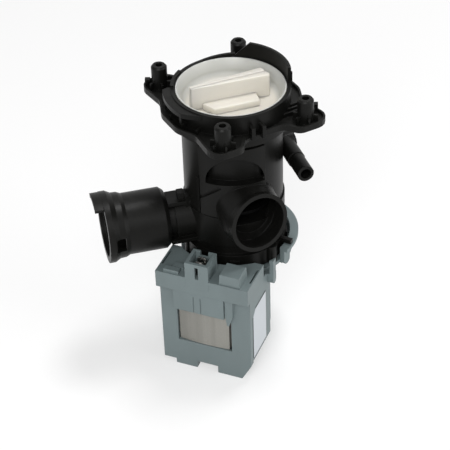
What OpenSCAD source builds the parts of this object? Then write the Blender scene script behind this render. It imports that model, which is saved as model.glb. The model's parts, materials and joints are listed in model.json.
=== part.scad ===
// Washer drain pump with a screw-in lint filter.
// Z is the axis of the filter and of the motor, +Z points out of the filter's mouth.
// The origin is the middle of the four screw bosses, on the plane of their ends.
// The inlet pipe points along -Y. The motor block is turned about Z by motor_turn.

/* [Screw bosses] */
// Distance between boss centres along X
boss_span_x = 53.3; // [53:0.1:58]
// Distance between boss centres along Y
boss_span_y = 75.9; // [75:0.1:86]
// Diameter of a boss
boss_d = 9.4; // [8.5:0.1:10.5]
// Diameter of the screw hole in a boss
boss_hole_d = 4.2; // [3:0.1:5]
// Depth of the screw hole
boss_hole_depth = 13.5; // [9:0.5:14]
// Height of a boss above the flange plate
boss_h = 14.5; // [14:0.5:18]

/* [Flange and mouth] */
// Thickness of the flange plate
flange_t = 2; // [1.5:0.1:3]
// How far the round middle of the flange plate stands out past the collar
flange_margin = 6.3; // [5:0.1:7]
// Radius of the corner lobes of the flange plate
lobe_r = 8.4; // [7:0.2:9]
// Height of the raised edge round the flange plate
edge_h = 1.8; // [1:0.1:4]
// Thickness of the raised edge round the flange plate
edge_t = 1.3; // [1:0.1:1.6]
// How far the mouth collar stands out past the filter tube
collar_grow = 4.8; // [4.5:0.1:6]
// Wall of the mouth collar
collar_wall = 2.2; // [1.8:0.1:2.6]
// How far the collar's rim lies below the boss ends
mouth_drop = 3; // [2:0.5:4]
// Depth of the collar's bore
mouth_depth = 18.5; // [18.5:0.5:20]
// Height of the splash wall above the boss ends
splash_h = 6.4; // [4:0.2:10]
// Thickness of the splash wall
splash_t = 1.7; // [1.2:0.1:2]
// How far the broad lip at the side of the mouth stands out past the collar
lip_out = 4.8; // [3:0.2:5.6]
// Thickness of the broad lip
lip_t = 3; // [2:0.2:4]

/* [Filter tube] */
// Outer radius of the filter tube
tube_r = 29.7; // [29.2:0.1:31]
// Wall of the filter tube
tube_wall = 2.2; // [1.6:0.1:2.4]
// Thickness of the front skin that the inlet pipe comes out of
skin_t = 2.8; // [2.4:0.1:3.2]
// Depth of the wall between filter and volute, below the boss ends
floor_drop = 80; // [79:0.5:84]
// Thickness of that wall
floor_t = 2.5; // [2:0.1:3]
// Radius of the eye through that wall
eye_r = 11; // [8:0.5:13]

/* [Volute and bayonet ring] */
// How far the volute stands out past the filter tube
volute_grow = 0.9; // [0.7:0.1:1.3]
// Wall of the volute
volute_wall = 4.1; // [3.6:0.1:4.6]
// Height of the volute from the wall above it to its lower rim
volute_h = 13.5; // [12.5:0.5:16]
// Height of the neck below the volute's rim
volute_neck_h = 8; // [7.5:0.5:9]
// How far the bayonet ring stands out past the volute
ring_grow = 0.6; // [0.4:0.1:1.2]
// Wall of the bayonet ring
ring_wall = 3; // [2.6:0.1:3.4]
// Height of the bayonet ring below the volute's neck
ring_h = 9.3; // [9:0.1:9.8]

/* [Inlet pipe] */
// Outer radius of the inlet pipe
inlet_r = 18.4; // [18:0.1:18.8]
// Wall of the inlet pipe
inlet_wall = 2.5; // [2.2:0.1:3.4]
// Distance of the inlet pipe's end from the filter axis
inlet_reach = 43; // [42:0.5:50]
// Height of the inlet pipe's end above the wall between filter and volute
inlet_rise = 9; // [8:0.5:11]
// Upward tilt of the inlet pipe's end
inlet_tilt = 7; // [4:1:9]
// Length of the seat for the hose at the inlet pipe's end
inlet_seat_len = 3.4; // [2.5:0.1:4]

/* [Outlet sleeve] */
// Direction of the outlet about the filter axis
outlet_turn = 165; // [160:1:170]
// Depth of the outlet's axis below the top of the volute
outlet_depth = 5; // [4.5:0.5:5.5]
// Inner radius of the outlet's throat
throat_r = 10.8; // [10:0.1:11.2]
// Wall of the outlet sleeve
sleeve_wall = 1.8; // [1.6:0.1:2.2]
// Distance of the sleeve's inner end from the filter axis
sleeve_start = 42.5; // [42:0.5:44]
// Length of the outlet sleeve
sleeve_len = 38; // [37:0.5:48]
// How far the collar at the sleeve's open end stands out past the sleeve
sleeve_collar_out = 3.1; // [2.5:0.1:3.8]

/* [Drain spigot] */
// Outer radius of the drain spigot
spigot_r = 4.9; // [4.5:0.1:5.2]
// Wall of the drain spigot
spigot_wall = 1.7; // [1.4:0.1:2.2]
// Turn of the spigot from the inlet's direction
spigot_turn = 12; // [8:1:14]
// Length of the spigot
spigot_len = 38; // [34:1:39]
// Length of the spigot's seat for a hose
spigot_seat_len = 16; // [12:1:17]
// Depth of the spigot's end below the boss ends
spigot_drop = 49; // [47:0.5:52]

/* [Filter cap] */
// Gap between the cap's rim and the mouth collar
cap_gap = 0.35; // [0.3:0.05:0.5]
// How far the cap's lugs stand out past its skirt
lug_out_by = 1.5; // [1.3:0.1:1.8]
// Depth of the dish below the cap's rim
dish_depth = 10.5; // [8:0.5:12]
// Wall between the dish and the cap's skirt
dish_wall = 2; // [1.8:0.1:3]
// Length of the grip
grip_len = 46.5; // [42:0.5:47]
// Height of the grip above the boss ends
grip_h = 1.5; // [0.5:0.5:3]
// Thickness of the O-ring
seal_d = 2.6; // [2.4:0.1:2.8]
// Height that the cap rises in one full turn
cap_pitch = 12; // [10:0.5:14]

/* [Impeller and rotor] */
// Radius of the impeller
impeller_r = 20; // [18:0.5:23]
// Number of blades on the impeller
blade_count = 6; // [4:1:8]
// Height of the impeller's blades
blade_h = 10; // [7:0.5:11]
// Radius of the rotor shaft
shaft_r = 2.5; // [2.3:0.05:2.6]
// Radius of the magnet
magnet_r = 11.4; // [11:0.1:12]
// Length of the magnet
magnet_len = 26; // [22:1:28]
// Water gap between the magnet's sleeve and the can
can_gap = 0.7; // [0.6:0.05:0.9]
// Wall of the rotor can
can_t = 1.1; // [1:0.05:1.2]

/* [Motor] */
// Turn of the motor block about the axis
motor_turn = -51; // [-55:1:-47]
// Height of the motor's deck above the bayonet ring's end
deck_rise = 8.5; // [8:0.1:9]
// Width of the motor's body
body_w = 57.8; // [57.4:0.1:58.2]
// Distance of the body's front face from the axis
body_front = 50.8; // [50:0.1:52]
// How far the collar stands out past the body's sides
collar_side = 0.45; // [0.3:0.05:1]
// How far the collar stands out in front of the body
collar_step = 4.5; // [4.2:0.1:5.5]
// Wall of the motor's body
wall_t = 1.8; // [1.5:0.1:1.9]
// Height of the feet below the body
foot_h = 12.8; // [12.3:0.1:18]
// Room for the coils between the core and the body's underside
belly_room = 7.5; // [7.3:0.1:9.8]
// Thickness of the steel core
stack_t = 28; // [26:0.5:29]
// Depth of the core's middle below the deck
stack_depth = 40.2; // [39.8:0.1:40.5]
// Width of one leg of the core
leg_w = 9; // [8:0.2:9.4]

/* [Clearances] */
// Radial clearance of a shaft in its bearing
bearing_gap = 0.06; // [0.03:0.01:0.1]
// Clearance between pieces that are seated on each other
seat_gap = 0.1; // [0.05:0.05:0.2]
// Clearance between pieces that turn past each other
run_gap = 0.4; // [0.3:0.05:0.6]

/* [Hidden] */
$fn = 72;
eps = 0.01;
// How far a cut runs past the face it opens
past = 1;

black = [0.13, 0.13, 0.12];
grey = [0.50, 0.56, 0.56];
cream = [0.86, 0.84, 0.80];
rubber = [0.09, 0.09, 0.09];
copper = [0.62, 0.30, 0.12];
steel = [0.62, 0.60, 0.57];
bronze = [0.75, 0.6, 0.35];
carbon = [0.25, 0.22, 0.2];

// Radii of the housing
tube_bore_r = tube_r - tube_wall;
shell_r = tube_r + skin_t;
inlet_bore_r = inlet_r - inlet_wall;
spigot_bore_r = spigot_r - spigot_wall;
collar_r = tube_r + collar_grow;
mouth_r = collar_r - collar_wall;
flange_r = collar_r + flange_margin;
volute_r = tube_r + volute_grow;
volute_bore_r = volute_r - volute_wall;
volute_neck_r = volute_bore_r + 2.2;
ring_r = volute_r + ring_grow;
ring_bore_r = ring_r - ring_wall;

// Levels, all measured down from the boss ends
plate_top = -boss_h;
plate_bottom = plate_top - flange_t;
rim_z = -mouth_drop;
shoulder_z = rim_z - mouth_depth;
collar_low = shoulder_z - 2;
mouth_end = collar_low - 3;
floor_z = -floor_drop;
volute_top = floor_z - floor_t;
volute_rim_z = volute_top - volute_h;
volute_end = volute_rim_z - volute_neck_h;
ring_end = volute_end - ring_h;
ring_web_z = volute_end + 1;
outlet_z = volute_top - outlet_depth;
inlet_end_z = floor_z + inlet_rise;
deck_z = ring_end + deck_rise;
stack_z = deck_z - stack_depth;
belly_z = stack_z - stack_t / 2 - belly_room;
foot_z = belly_z - foot_h;
// Where the filter tube ends on the volute
tube_end = floor_z + 4;

// Cap and thread
cap_r = mouth_r - cap_gap;
cap_top = rim_z;
cap_rim_t = 4.5;
cap_edge_t = 0.7;
skirt_r = mouth_r - run_gap - lug_out_by;
skirt_end = shoulder_z + 0.5;
plug_r = tube_bore_r - run_gap;
plug_bore_r = plug_r - 4.5;
plug_end = shoulder_z - 9.5;
groove_z = plug_end + 3.5;
groove_w = seal_d + 0.4;
groove_r = tube_bore_r - seal_d - 0.2;
cap_travel = 135;
lug_half = 12;
lug_t = 2.5;
lug_top = rim_z - 13;
lug_out = mouth_r - run_gap;
ramp_in = skirt_r + run_gap;
ramp_t = 2;
ramp_from = -lug_half;
ramp_to = 118;
ramp_steps = 13;
dish_rim_r = cap_r - cap_edge_t;
dish_floor_z = cap_top - dish_depth;
dish_round = 5;
dish_floor_r = skirt_r - dish_wall - dish_round;
dish_t = 2.5;
step_h = 4;

// Flange outline
boss_x = boss_span_x / 2;
boss_y = boss_span_y / 2;
lobe_out = 2;
long_lobe_out = 5.4;
waist_x = boss_x + 8.6;
waist_y = 22;
side_y = 9;
front_y = collar_r + 3.1;
lobe_in = 6;
gap_from = -12.5;
gap_to = -0.5;

// Splash wall and the rims that run on from it
splash_from = -25;
splash_to = 57;
splash_ramp = 41;
wall_out = collar_r + 0.15;
low_rim_from = 50;
low_rim_to = 93;
low_rim_z = rim_z + 1.1;
low_rim_slope = 5.3;
side_rim_from = 122;
side_rim_z = rim_z + 1.4;

// Lip at the side of the mouth
lip_from = 150;
lip_to = 213;
lip_r = collar_r + lip_out;
lip_top = rim_z - 0.6;

// Front skin of the tube with its pocket and slit
shell_from = -156;
shell_to = -84;
shell_end = tube_end + 2;
pocket_turn = -117;
pocket_drop = 23;
pocket_z = mouth_end - pocket_drop;
pocket_r = 17;
pocket_low = pocket_z - 1;
pocket_floor_r = tube_bore_r - 0.6;
liner_t = 1.5;
liner_from = -152;
liner_to = -82;
liner_r = pocket_floor_r - liner_t;
liner_top = plug_end - run_gap;
liner_low = pocket_low - 1.6;
// Seam between tube and volute round the inlet, and where the inlet's bore ends below the filter
seam_r = tube_r - 0.5;
sill_r = tube_r + 1;
slit_turn = -146;
slit_drop = 31.5;
slit_z = mouth_end - slit_drop;
slit_lean = 36.5;
slit_half = 9.5;
slit_w = 1.8;
slit_depth = skin_t - 0.9;

// Inlet bend
inlet_x = -7;
bend_back = 7;
bend_pos = [inlet_x, -inlet_reach + bend_back * cos(inlet_tilt), inlet_end_z - bend_back * sin(inlet_tilt)];
hub_start = [inlet_x + 1.8, -11.5, inlet_end_z + 7];
end_pos = [inlet_x, -inlet_reach, inlet_end_z];
hub_grow = 0.05;
// How far the bend lies inside the hose's seat
seat_step = 0.3;
hub_dir = (bend_pos - hub_start) / norm(bend_pos - hub_start);
end_dir = (end_pos - bend_pos) / norm(end_pos - bend_pos);
// How far each length runs past the bend, as a share of its radius
bend_miter = tan(acos(hub_dir * end_dir) / 2) * 0.97;

// Flap's hinge, and the radii of the sleeve round it
pin_r = 1.2;
knuckle_r = 2.5;
pin_z = throat_r + 2.2;
flap_room_r = pin_z + knuckle_r + 0.8;
sleeve_bore_r = flap_room_r + 0.6;
sleeve_r = sleeve_bore_r + sleeve_wall;
sleeve_collar_r = sleeve_r + sleeve_collar_out;

// Outlet
neck_r = throat_r + 2;
pipe_r = throat_r + 3.6;
pipe_from = 24;
pipe_to = sleeve_start - 4;
seat_x = sleeve_start + 3.5;
stop_x = seat_x + 8;
sleeve_end = sleeve_start + sleeve_len;
mouth_bevel = 2.4;
step_a = sleeve_end - 12.8;
step_b = sleeve_end - 10.4;
step_c = sleeve_end - 6.8;
step_d = sleeve_end - 3.5;
tab_len = 5.4;
tab_from = 154;
tab_to = 210;
window_x = sleeve_end - 10.2;
window_w = 5.8;
window_z = -5.6;
window_h = 9.4;

// Check flap
flap_t = 1.8;
flap_r = throat_r + 1;
pin_x = seat_x + 2.9;
ear_r = 2;
knuckle_half = 4;
ear_t = 1.8;

// Spigot
spigot_end = [25, -41.5, -spigot_drop];
spigot_stem_r = spigot_r + 0.4;
spigot_root_r = spigot_r + 1.3;
spigot_rise = 2;
spigot_dir = [sin(spigot_turn) * cos(spigot_rise), cos(spigot_turn) * cos(spigot_rise), -sin(spigot_rise)];
spigot_root = spigot_end + spigot_len * spigot_dir;

// Motor flange and rotor can
sleeve_t = 0.6;
can_bore_r = magnet_r + sleeve_t + can_gap;
flange_plate_r = ring_r + 2.3;
flange_plate_t = 2.4;
flange_top = ring_end - 1.3;
flange_bottom = flange_top - flange_plate_t;
plug_top = volute_end + 1.4;
gasket_z = volute_end - 1.3;
gasket_gap = 0.1;
cover_t = 2.4;
hub_seat_r = can_bore_r - seat_gap;
can_floor_t = 1.8;
bearing_r = 5;
bearing_len = 6;
seal_seat_r = bearing_r + 1.2;
front_bearing_top = volute_end - 4.7;
rear_seat_len = 5.6;
rim_plate_r = ring_r + 7.7;
rim_plate_t = 2.4;
rim_from = -66;
rim_to = 62;
clip_turn = -56;
rim_top = deck_z - 0.3;
hook_turn = -66;

// Rotor
shaft_top = volute_top - 5;
magnet_top = stack_z + magnet_len / 2;
magnet_end = stack_z - magnet_len / 2;
can_end = magnet_end - 10.8;
shaft_end = can_end + can_floor_t + 0.4;
washer_t = 0.8;
washer_gap = 0.3;
washer_r = 4.6;

// Impeller
hub_r = 9.8;
hollow_r = 8.3;
dog_r = 7.9;
dog_core_r = 5;
stop_r = 5.4;
dog_angle = 60;
stop_angle = 60;
play = 230;
impeller_z = plug_top + 2.4;
disc_t = 2;
blade_t = 1.6;
hub_top = impeller_z + blade_h + 4;
hollow_top = hub_top - 3;
dog_z = impeller_z + 0.6;
dog_h = hollow_top - dog_z - 0.5;

// Motor block
half_w = body_w / 2;
half_c = half_w + collar_side;
collar_front = body_front + collar_step;
collar_end = deck_z - 11.6;
collar_back = -28.5;
recess_r = 37;
recess_z = flange_bottom - seat_gap;
top_t = 2;
top_z = recess_z - top_t;
body_back = -17;
rear_w = 20.6;
rear_t = 1.3;
rear_round_y = 2;
cup_t = 1.8;
rear_r = 20.6;
panel_left = -half_w + 9.9;
panel_right = half_w - 15.4;
panel_end = stack_z + stack_t / 2 - 0.4;
groove_h = 12;
window_left = -half_w + 10.3;
window_right = half_w - 12.3;
window_top = stack_z + stack_t / 2 + 4;
window_bottom = stack_z - stack_t / 2 - 0.2;
notch_w = 13.8;
notch_h = 5.2;
notch_x = 0;
slant_w = 6;
slant_h = 11.4;
side_slit_y = -body_front + wall_t + 0.6;

// Core and coils
spool_t = 0.9;
cheek_lip = 0.9;
core_gap = 1.2;
side_room = 1.3;
// Build of the coil beside the leg, as far as the body leaves room
coil_t = (half_w - wall_t - side_room - core_gap - leg_w) / 2 - spool_t - cheek_lip;
leg_in = core_gap + cheek_lip + coil_t + spool_t;
leg_out = leg_in + leg_w;
bight_right = leg_out - 3.4;
bight_front = -body_front + 0.4;
bight_w = 11.8;
bight_back = bight_front + bight_w;
bow = 1.2;
pole_front = -15;
pole_back = 12.5;
pole_out = rear_w - rear_t - 0.3;
pole_gap_r = can_bore_r + can_t + 0.35;
coil_front = bight_back + 0.3;
coil_back = body_back - wall_t - 0.3;
cheek_t = 1.2;
cheek_edge = 0.6;
// Build of the coil above and below the core, as far as the cover leaves room
coil_h = stack_z - stack_t / 2 - seat_gap - spool_t - cheek_edge - belly_z - cup_t - 0.2;
cheek_in = leg_in - spool_t - coil_t - cheek_lip;
cheek_out = leg_out + spool_t + coil_t + cheek_lip;

// Connector
plug_left = -10;
plug_right = 4.8;
plug_front = -collar_front - 0.1;
plug_depth = 14.4;
plug_back = plug_front + plug_depth;
plug_top_z = deck_z + 11.2;
plug_walls = 2;
plug_base = deck_z - 7;
plug_floor = deck_z - 1;
plug_mid = (plug_left + plug_right) / 2;
tab_w = 6.3;
tab_t = 0.8;
tab_top = plug_top_z - 1.4;
tab_front_y = plug_front + 5;
tab_rear_y = plug_front + 9.6;
tab_past = 3;
tab_end = top_z - tab_past;
tab_hole_r = 0.8;
tab_hole_drop = 3.6;

// Label
label_t = 0.25;
label_front = -body_front + 4.2;
label_back = -24.5;
label_drop = 22.7;
label_rise = 1.9;
label_top = deck_z - label_drop;
label_bottom = belly_z + label_rise;
label_cut = 5;

// Points of a rounded corner at b, between a and c, with radius r
function corner(a, b, c, r) =
    let (u = (a - b) / norm(a - b))
    let (v = (c - b) / norm(c - b))
    let (half = acos(u * v) / 2)
    let (reach = r / tan(half))
    let (m = b + (u + v) / norm(u + v) * r / sin(half))
    let (p = b + u * reach - m)
    let (q = b + v * reach - m)
    let (a0 = atan2(p[1], p[0]))
    let (turn = atan2(p[0] * q[1] - p[1] * q[0], p * q))
    [for (i = [0:5]) m + r * [cos(a0 + turn * i / 5), sin(a0 + turn * i / 5)]];

// Outline whose corners are rounded, each by its own radius
function rounded(pts, radii) =
    let (n = len(pts))
    [for (i = [0:n - 1]) each corner(pts[(i + n - 1) % n], pts[i], pts[(i + 1) % n], radii[i])];

// One quarter of the flange outline, drawn in by inset, with its lobe standing out by reach
function flange_quarter(inset, reach) = [
    [flange_r - inset, side_y],
    [waist_x - inset, waist_y],
    [boss_x + reach + lobe_r - inset, boss_y + lobe_r - inset],
    [boss_x - lobe_r + inset, boss_y + lobe_r - inset],
    [boss_x - lobe_r - lobe_in + inset, front_y - inset]];

function flange_outline(inset) =
    let (q = flange_quarter(inset, lobe_out))
    let (w = flange_quarter(inset, long_lobe_out))
    let (last = len(q) - 1)
    let (out = [14, 7, lobe_r - inset, lobe_r - inset - 2, 6])
    let (back = [6, lobe_r - inset - 2, lobe_r - inset, 7, 14])
    rounded(concat(q,
        [for (i = [last:-1:0]) [-q[i][0], q[i][1]]],
        [for (i = [0:last]) [-q[i][0], -q[i][1]]],
        [for (i = [last:-1:0]) [w[i][0], -w[i][1]]]),
        concat(out, back, out, back));

module ring(r_out, r_in, z0, z1) {
    translate([0, 0, z0])
        difference() {
            cylinder(r = r_out, h = z1 - z0);
            translate([0, 0, -1]) cylinder(r = r_in, h = z1 - z0 + 2);
        }
}

// Part of a ring, from one angle to another
module arc(r_out, r_in, z0, z1, from, to) {
    rotate([0, 0, from])
        rotate_extrude(angle = to - from)
            polygon([[r_in, z0], [r_out, z0], [r_out, z1], [r_in, z1]]);
}

// Block given by its lowest and highest corner
module block(low, high) {
    translate(low) cube(high - low);
}

// Round bar between two points
module bar(a, b, r) {
    d = b - a;
    translate(a)
        rotate([0, acos(d[2] / norm(d)), atan2(d[1], d[0])])
            cylinder(r = r, h = norm(d));
}

module at_bosses() {
    for (sx = [-1, 1])
        for (sy = [-1, 1])
            translate([sx * boss_x, sy * boss_y, 0]) children();
}

module at_outlet() {
    translate([0, 0, outlet_z])
        rotate([0, 0, outlet_turn]) children();
}

// Turns a profile drawn as distance and radius about the outlet's axis
module about_outlet() {
    rotate([0, 90, 0])
        rotate_extrude() children();
}

module in_motor() {
    rotate([0, 0, motor_turn]) children();
}

// Filter mouth

module boss() {
    crown = 1.2;
    fin_out = boss_d / 2 + 2.6;
    translate([0, 0, plate_bottom + 1]) cylinder(d = boss_d, h = boss_h + flange_t - 1 - crown);
    translate([0, 0, -crown - eps]) cylinder(d1 = boss_d, d2 = boss_d - 1.8, h = crown + eps);
    for (a = [15:60:315])
        rotate([0, 0, a])
            block([boss_d / 2 - 1, -0.6, plate_top - 1], [fin_out, 0.6, plate_top + 4.5]);
}

module flange_plate() {
    translate([0, 0, plate_bottom])
        linear_extrude(height = flange_t) polygon(flange_outline(0));
    difference() {
        translate([0, 0, plate_top - 1])
            linear_extrude(height = edge_h + 1) polygon(flange_outline(0));
        translate([0, 0, plate_top - 2])
            linear_extrude(height = edge_h + 4) polygon(flange_outline(edge_t));
        block([gap_from, -front_y - 5, plate_top - 2], [gap_to, -front_y + 5, plate_top + edge_h + 1]);
    }
}

module mouth_collar() {
    translate([0, 0, collar_low]) cylinder(r = collar_r, h = rim_z - collar_low);
    translate([0, 0, mouth_end])
        cylinder(r1 = tube_r, r2 = collar_r, h = collar_low - mouth_end);
}

module splash_wall() {
    wall_in = collar_r - splash_t;
    difference() {
        arc(wall_out, wall_in, rim_z - 2, splash_h, splash_from, splash_to);
        rotate([0, 0, splash_ramp])
            translate([collar_r - 5, 0, splash_h])
                rotate([-45, 0, 0]) cube([10, 30, 30]);
    }
    for (a = [splash_from, 0, 25])
        rotate([0, 0, a + 1])
            block([collar_r - 1, -0.7, rim_z - 4], [collar_r + 0.9, 0.7, splash_h - 3]);
    // Low rim that runs down from the wall
    difference() {
        arc(wall_out - 0.05, wall_in + 0.05, rim_z - 1.5, low_rim_z + 4, splash_to - 0.8, low_rim_to);
        rotate([0, 0, (low_rim_from + low_rim_to) / 2])
            translate([0, 0, low_rim_z])
                rotate([-low_rim_slope, 0, 0]) block([0, -60, 0], [60, 60, 20]);
    }
    arc(wall_out, wall_in, rim_z - 2, side_rim_z, side_rim_from, lip_from + 2);
}

// Radius of the lip's edge at angle a
function lip_edge(a) = min(lip_r, collar_r + 2 + (a - lip_from) * 1.1, collar_r + 0.2 + (lip_to - a) * 0.27);

module side_lip() {
    lip_in = mouth_r + 1;
    translate([0, 0, lip_top - lip_t])
        linear_extrude(height = lip_t)
            polygon(concat([for (a = [lip_from:3:lip_to]) lip_edge(a) * [cos(a), sin(a)]],
                [for (a = [lip_to:-3:lip_from]) lip_in * [cos(a), sin(a)]]));
    for (a = [lip_from + 2, lip_to - 20])
        rotate([0, 0, a])
            block([collar_r - 1, -0.9, plate_top - 1], [lip_edge(a) - 0.7, 0.9, lip_top - 1]);
}

// Ribs between the mouth collar and the flange plate
module flange_ribs() {
    for (y = [-29.5, -26, -22.5, 22.5, 26, 29.5])
        block([sqrt(collar_r * collar_r - y * y) - 1, y - 0.6, plate_top - 1],
            [boss_x + 5, y + 0.6, plate_top + 2.5]);
    for (a = [118, 140, 158, 176, -166, -150])
        rotate([0, 0, a])
            block([collar_r - 1, -0.6, plate_top - 1], [flange_r - 2.4, 0.6, plate_top + 3]);
    for (a = [-101, -91.5])
        rotate([0, 0, a])
            block([collar_r - 1, -1.1, plate_bottom + 0.2], [front_y + 1.9, 1.1, plate_top + 6]);
}

// Small hook at the outer corner of a lobe
module hook(x, y, a) {
    translate([x, y, plate_top - 1])
        rotate([0, 0, a]) {
            block([-0.8, -1.5, 0], [0.8, 1.5, 6]);
            block([-2.2, -1.5, 4.6], [0.6, 1.5, 6]);
        }
}

// Teeth that guide the cap's lugs
module cap_ramps() {
    step = (ramp_to - ramp_from) / ramp_steps;
    for (half = [0, 180])
        for (i = [0:ramp_steps - 1]) {
            a = ramp_from + i * step;
            z = lug_top + run_gap + cap_pitch / 360 * (a + step + lug_half);
            rotate([0, 0, half])
                arc(mouth_r + 0.5, ramp_in + 0.1 * (i % 2), z, z + ramp_t, a - 2, a + step);
        }
}

module filter_mouth() {
    color(black) {
        difference() {
            union() {
                mouth_collar();
                flange_plate();
                flange_ribs();
                side_lip();
                at_bosses() boss();
                hook(-boss_x - 6.5, boss_y + 4.5, 150);
                hook(boss_x + 10.5, -boss_y + 5, -30);
            }
            translate([0, 0, shoulder_z]) cylinder(r = mouth_r, h = mouth_depth + 5);
            translate([0, 0, mouth_end - past])
                cylinder(r = tube_bore_r, h = shoulder_z - mouth_end + 2 * past);
            at_bosses()
                translate([0, 0, -boss_hole_depth]) cylinder(d = boss_hole_d, h = boss_hole_depth + past);
        }
        splash_wall();
        cap_ramps();
    }
}

// Filter tube

module inlet_outside() {
    bend_r = inlet_r - seat_step;
    reach = bend_r * bend_miter;
    difference() {
        union() {
            bar(hub_start, bend_pos + reach * hub_dir, bend_r + hub_grow);
            bar(bend_pos - reach * end_dir, end_pos - 0.5 * inlet_seat_len * end_dir, bend_r);
        }
        bar(end_pos - 0.6 * inlet_seat_len * end_dir, end_pos + inlet_r * end_dir, inlet_r + past);
    }
    bar(end_pos - inlet_seat_len * end_dir, end_pos, inlet_r);
}

// What the inlet takes up outside the seam
module inlet_zone() {
    difference() {
        inlet_outside();
        translate([0, 0, tube_end - 60]) cylinder(r = seam_r, h = 60);
    }
}

module inlet_hollow() {
    reach = inlet_bore_r * bend_miter;
    difference() {
        union() {
            bar(hub_start, bend_pos + reach * hub_dir, inlet_bore_r - hub_grow);
            bar(bend_pos - reach * end_dir, end_pos + 3 * end_dir, inlet_bore_r);
        }
        translate([0, 0, floor_z - 40]) cylinder(r = sill_r, h = 40);
    }
}

module spigot_solid(r, longer) {
    bar(spigot_end - longer * spigot_dir, spigot_root, r);
}

module spigot_chamber(r) {
    bar(spigot_root - [12, 0, 0], spigot_root + [r - 1, 0, 0], r);
}

// Wide skin at the front of the tube, with the pocket above the inlet
module front_skin() {
    arc(shell_r, tube_r - 0.6, shell_end, mouth_end, shell_from, shell_to);
}

module skin_cuts() {
    // Arched pocket above the inlet
    intersection() {
        rotate([0, 0, pocket_turn])
            translate([pocket_floor_r - 8, 0, pocket_z])
                rotate([0, 90, 0]) cylinder(r = pocket_r, h = 30);
        difference() {
            translate([0, 0, pocket_low]) cylinder(r = shell_r + 10, h = pocket_r + 5);
            translate([0, 0, pocket_low - past]) cylinder(r = pocket_floor_r, h = pocket_r + 7);
        }
    }
    rotate([0, 0, slit_turn])
        translate([shell_r - slit_depth, 0, slit_z])
            rotate([slit_lean, 0, 0])
                block([0, -slit_half, -slit_w / 2], [10, slit_half, slit_w / 2]);
}

module filter_tube() {
    color(black)
        difference() {
            union() {
                difference() {
                    union() {
                        translate([0, 0, tube_end]) cylinder(r = tube_r, h = mouth_end - tube_end);
                        front_skin();
                        inlet_zone();
                        spigot_solid(spigot_stem_r, -spigot_seat_len);
                        spigot_solid(spigot_r, 0);
                        spigot_chamber(spigot_root_r);
                        rotate([0, 0, shell_from - 5])
                            block([tube_r - 1, -0.8, tube_end + 1], [tube_r + 1.3, 0.8, tube_end + 26]);
                    }
                    translate([0, 0, tube_end - past])
                        cylinder(r = tube_bore_r, h = mouth_end - tube_end + 2 * past);
                }
                arc(tube_bore_r + 0.7, liner_r, liner_low, liner_top, liner_from, liner_to);
            }
            inlet_hollow();
            skin_cuts();
            spigot_solid(spigot_bore_r, 1);
            spigot_chamber(spigot_bore_r + 0.6);
        }
}

// Volute housing with the outlet's pipe and the bayonet ring

module outlet_pipe() {
    rib_end = sleeve_start;
    at_outlet() {
        bar([pipe_from, 0, 0], [pipe_to, 0, 0], pipe_r);
        bar([pipe_from + 6, 0, 0], [sleeve_start, 0, 0], neck_r);
        // Ribs that carry the sleeve
        block([25, -4, pipe_r - 1.4], [rib_end, 9, pipe_r + 1]);
        block([25, 8, -10], [rib_end, 15.5, -7.6]);
        block([32, 2, pipe_r], [36, 7, pipe_r + 6]);
    }
    rotate([0, 0, outlet_turn + 13])
        block([tube_r - 1, -2, tube_end - 1.3], [tube_r + 3.4, 2, outlet_z + 18.5]);
}

module throat() {
    at_outlet()
        difference() {
            bar([20, 0, 0], [seat_x + 1, 0, 0], throat_r);
            translate([0, 0, volute_top - outlet_z]) cylinder(r = volute_r - 0.2, h = 40);
        }
}

module bayonet_ring() {
    ring(ring_r, ring_bore_r, ring_end, ring_web_z);
    ring(ring_r - 0.2, volute_bore_r, volute_end, ring_web_z - 0.2);
    for (a = [-120, -30, 60, 150])
        rotate([0, 0, a])
            block([ring_r - 1, -3, ring_end + 0.4], [ring_r + 0.9, 3, ring_end + 7]);
    difference() {
        union() {
            rotate([0, 0, -75])
                translate([ring_r - 0.4, 0, ring_end + 0.6]) cylinder(r = 3.7, h = 11.4);
            rotate([0, 0, 172])
                translate([ring_r - 2.2, 0, ring_end + 0.6]) cylinder(r = 3.7, h = 9.4);
        }
        translate([0, 0, ring_end - past]) cylinder(r = ring_bore_r + 1, h = 20);
    }
    // Clip that grips the flange's rim
    rotate([0, 0, clip_turn])
        block([ring_r - 1, -1.4, rim_top + run_gap], [rim_plate_r - 0.6, 1.4, ring_web_z + 1]);
}

module volute_housing() {
    color(black) {
        difference() {
            union() {
                translate([0, 0, volute_rim_z]) cylinder(r = volute_r, h = tube_end - volute_rim_z);
                translate([0, 0, volute_end]) cylinder(r = volute_neck_r, h = volute_rim_z - volute_end);
                outlet_pipe();
            }
            translate([0, 0, tube_end]) cylinder(r = tube_r, h = 30);
            inlet_zone();
            translate([0, 0, floor_z]) cylinder(r = tube_bore_r, h = tube_end - floor_z + past);
            translate([0, 0, volute_end - past])
                cylinder(r = volute_bore_r, h = volute_top - volute_end + past);
            translate([0, 0, floor_z - 10]) cylinder(r = eye_r, h = 20);
            inlet_hollow();
            throat();
        }
        bayonet_ring();
    }
}

// Outlet sleeve

// Ears that hold the flap's pin
module flap_ears() {
    near = knuckle_half + run_gap;
    far = near + ear_t;
    at_outlet()
        difference() {
            for (s = [-1, 1])
                union() {
                    bar([pin_x, s * near, pin_z], [pin_x, s * far, pin_z], ear_r);
                    block([seat_x - 1, s > 0 ? near : -far, pin_z - 0.5],
                        [pin_x, s > 0 ? far : -near, pin_z + ear_r - 0.2]);
                }
            bar([pin_x, -20, pin_z], [pin_x, 20, pin_z], pin_r);
        }
}

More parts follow.
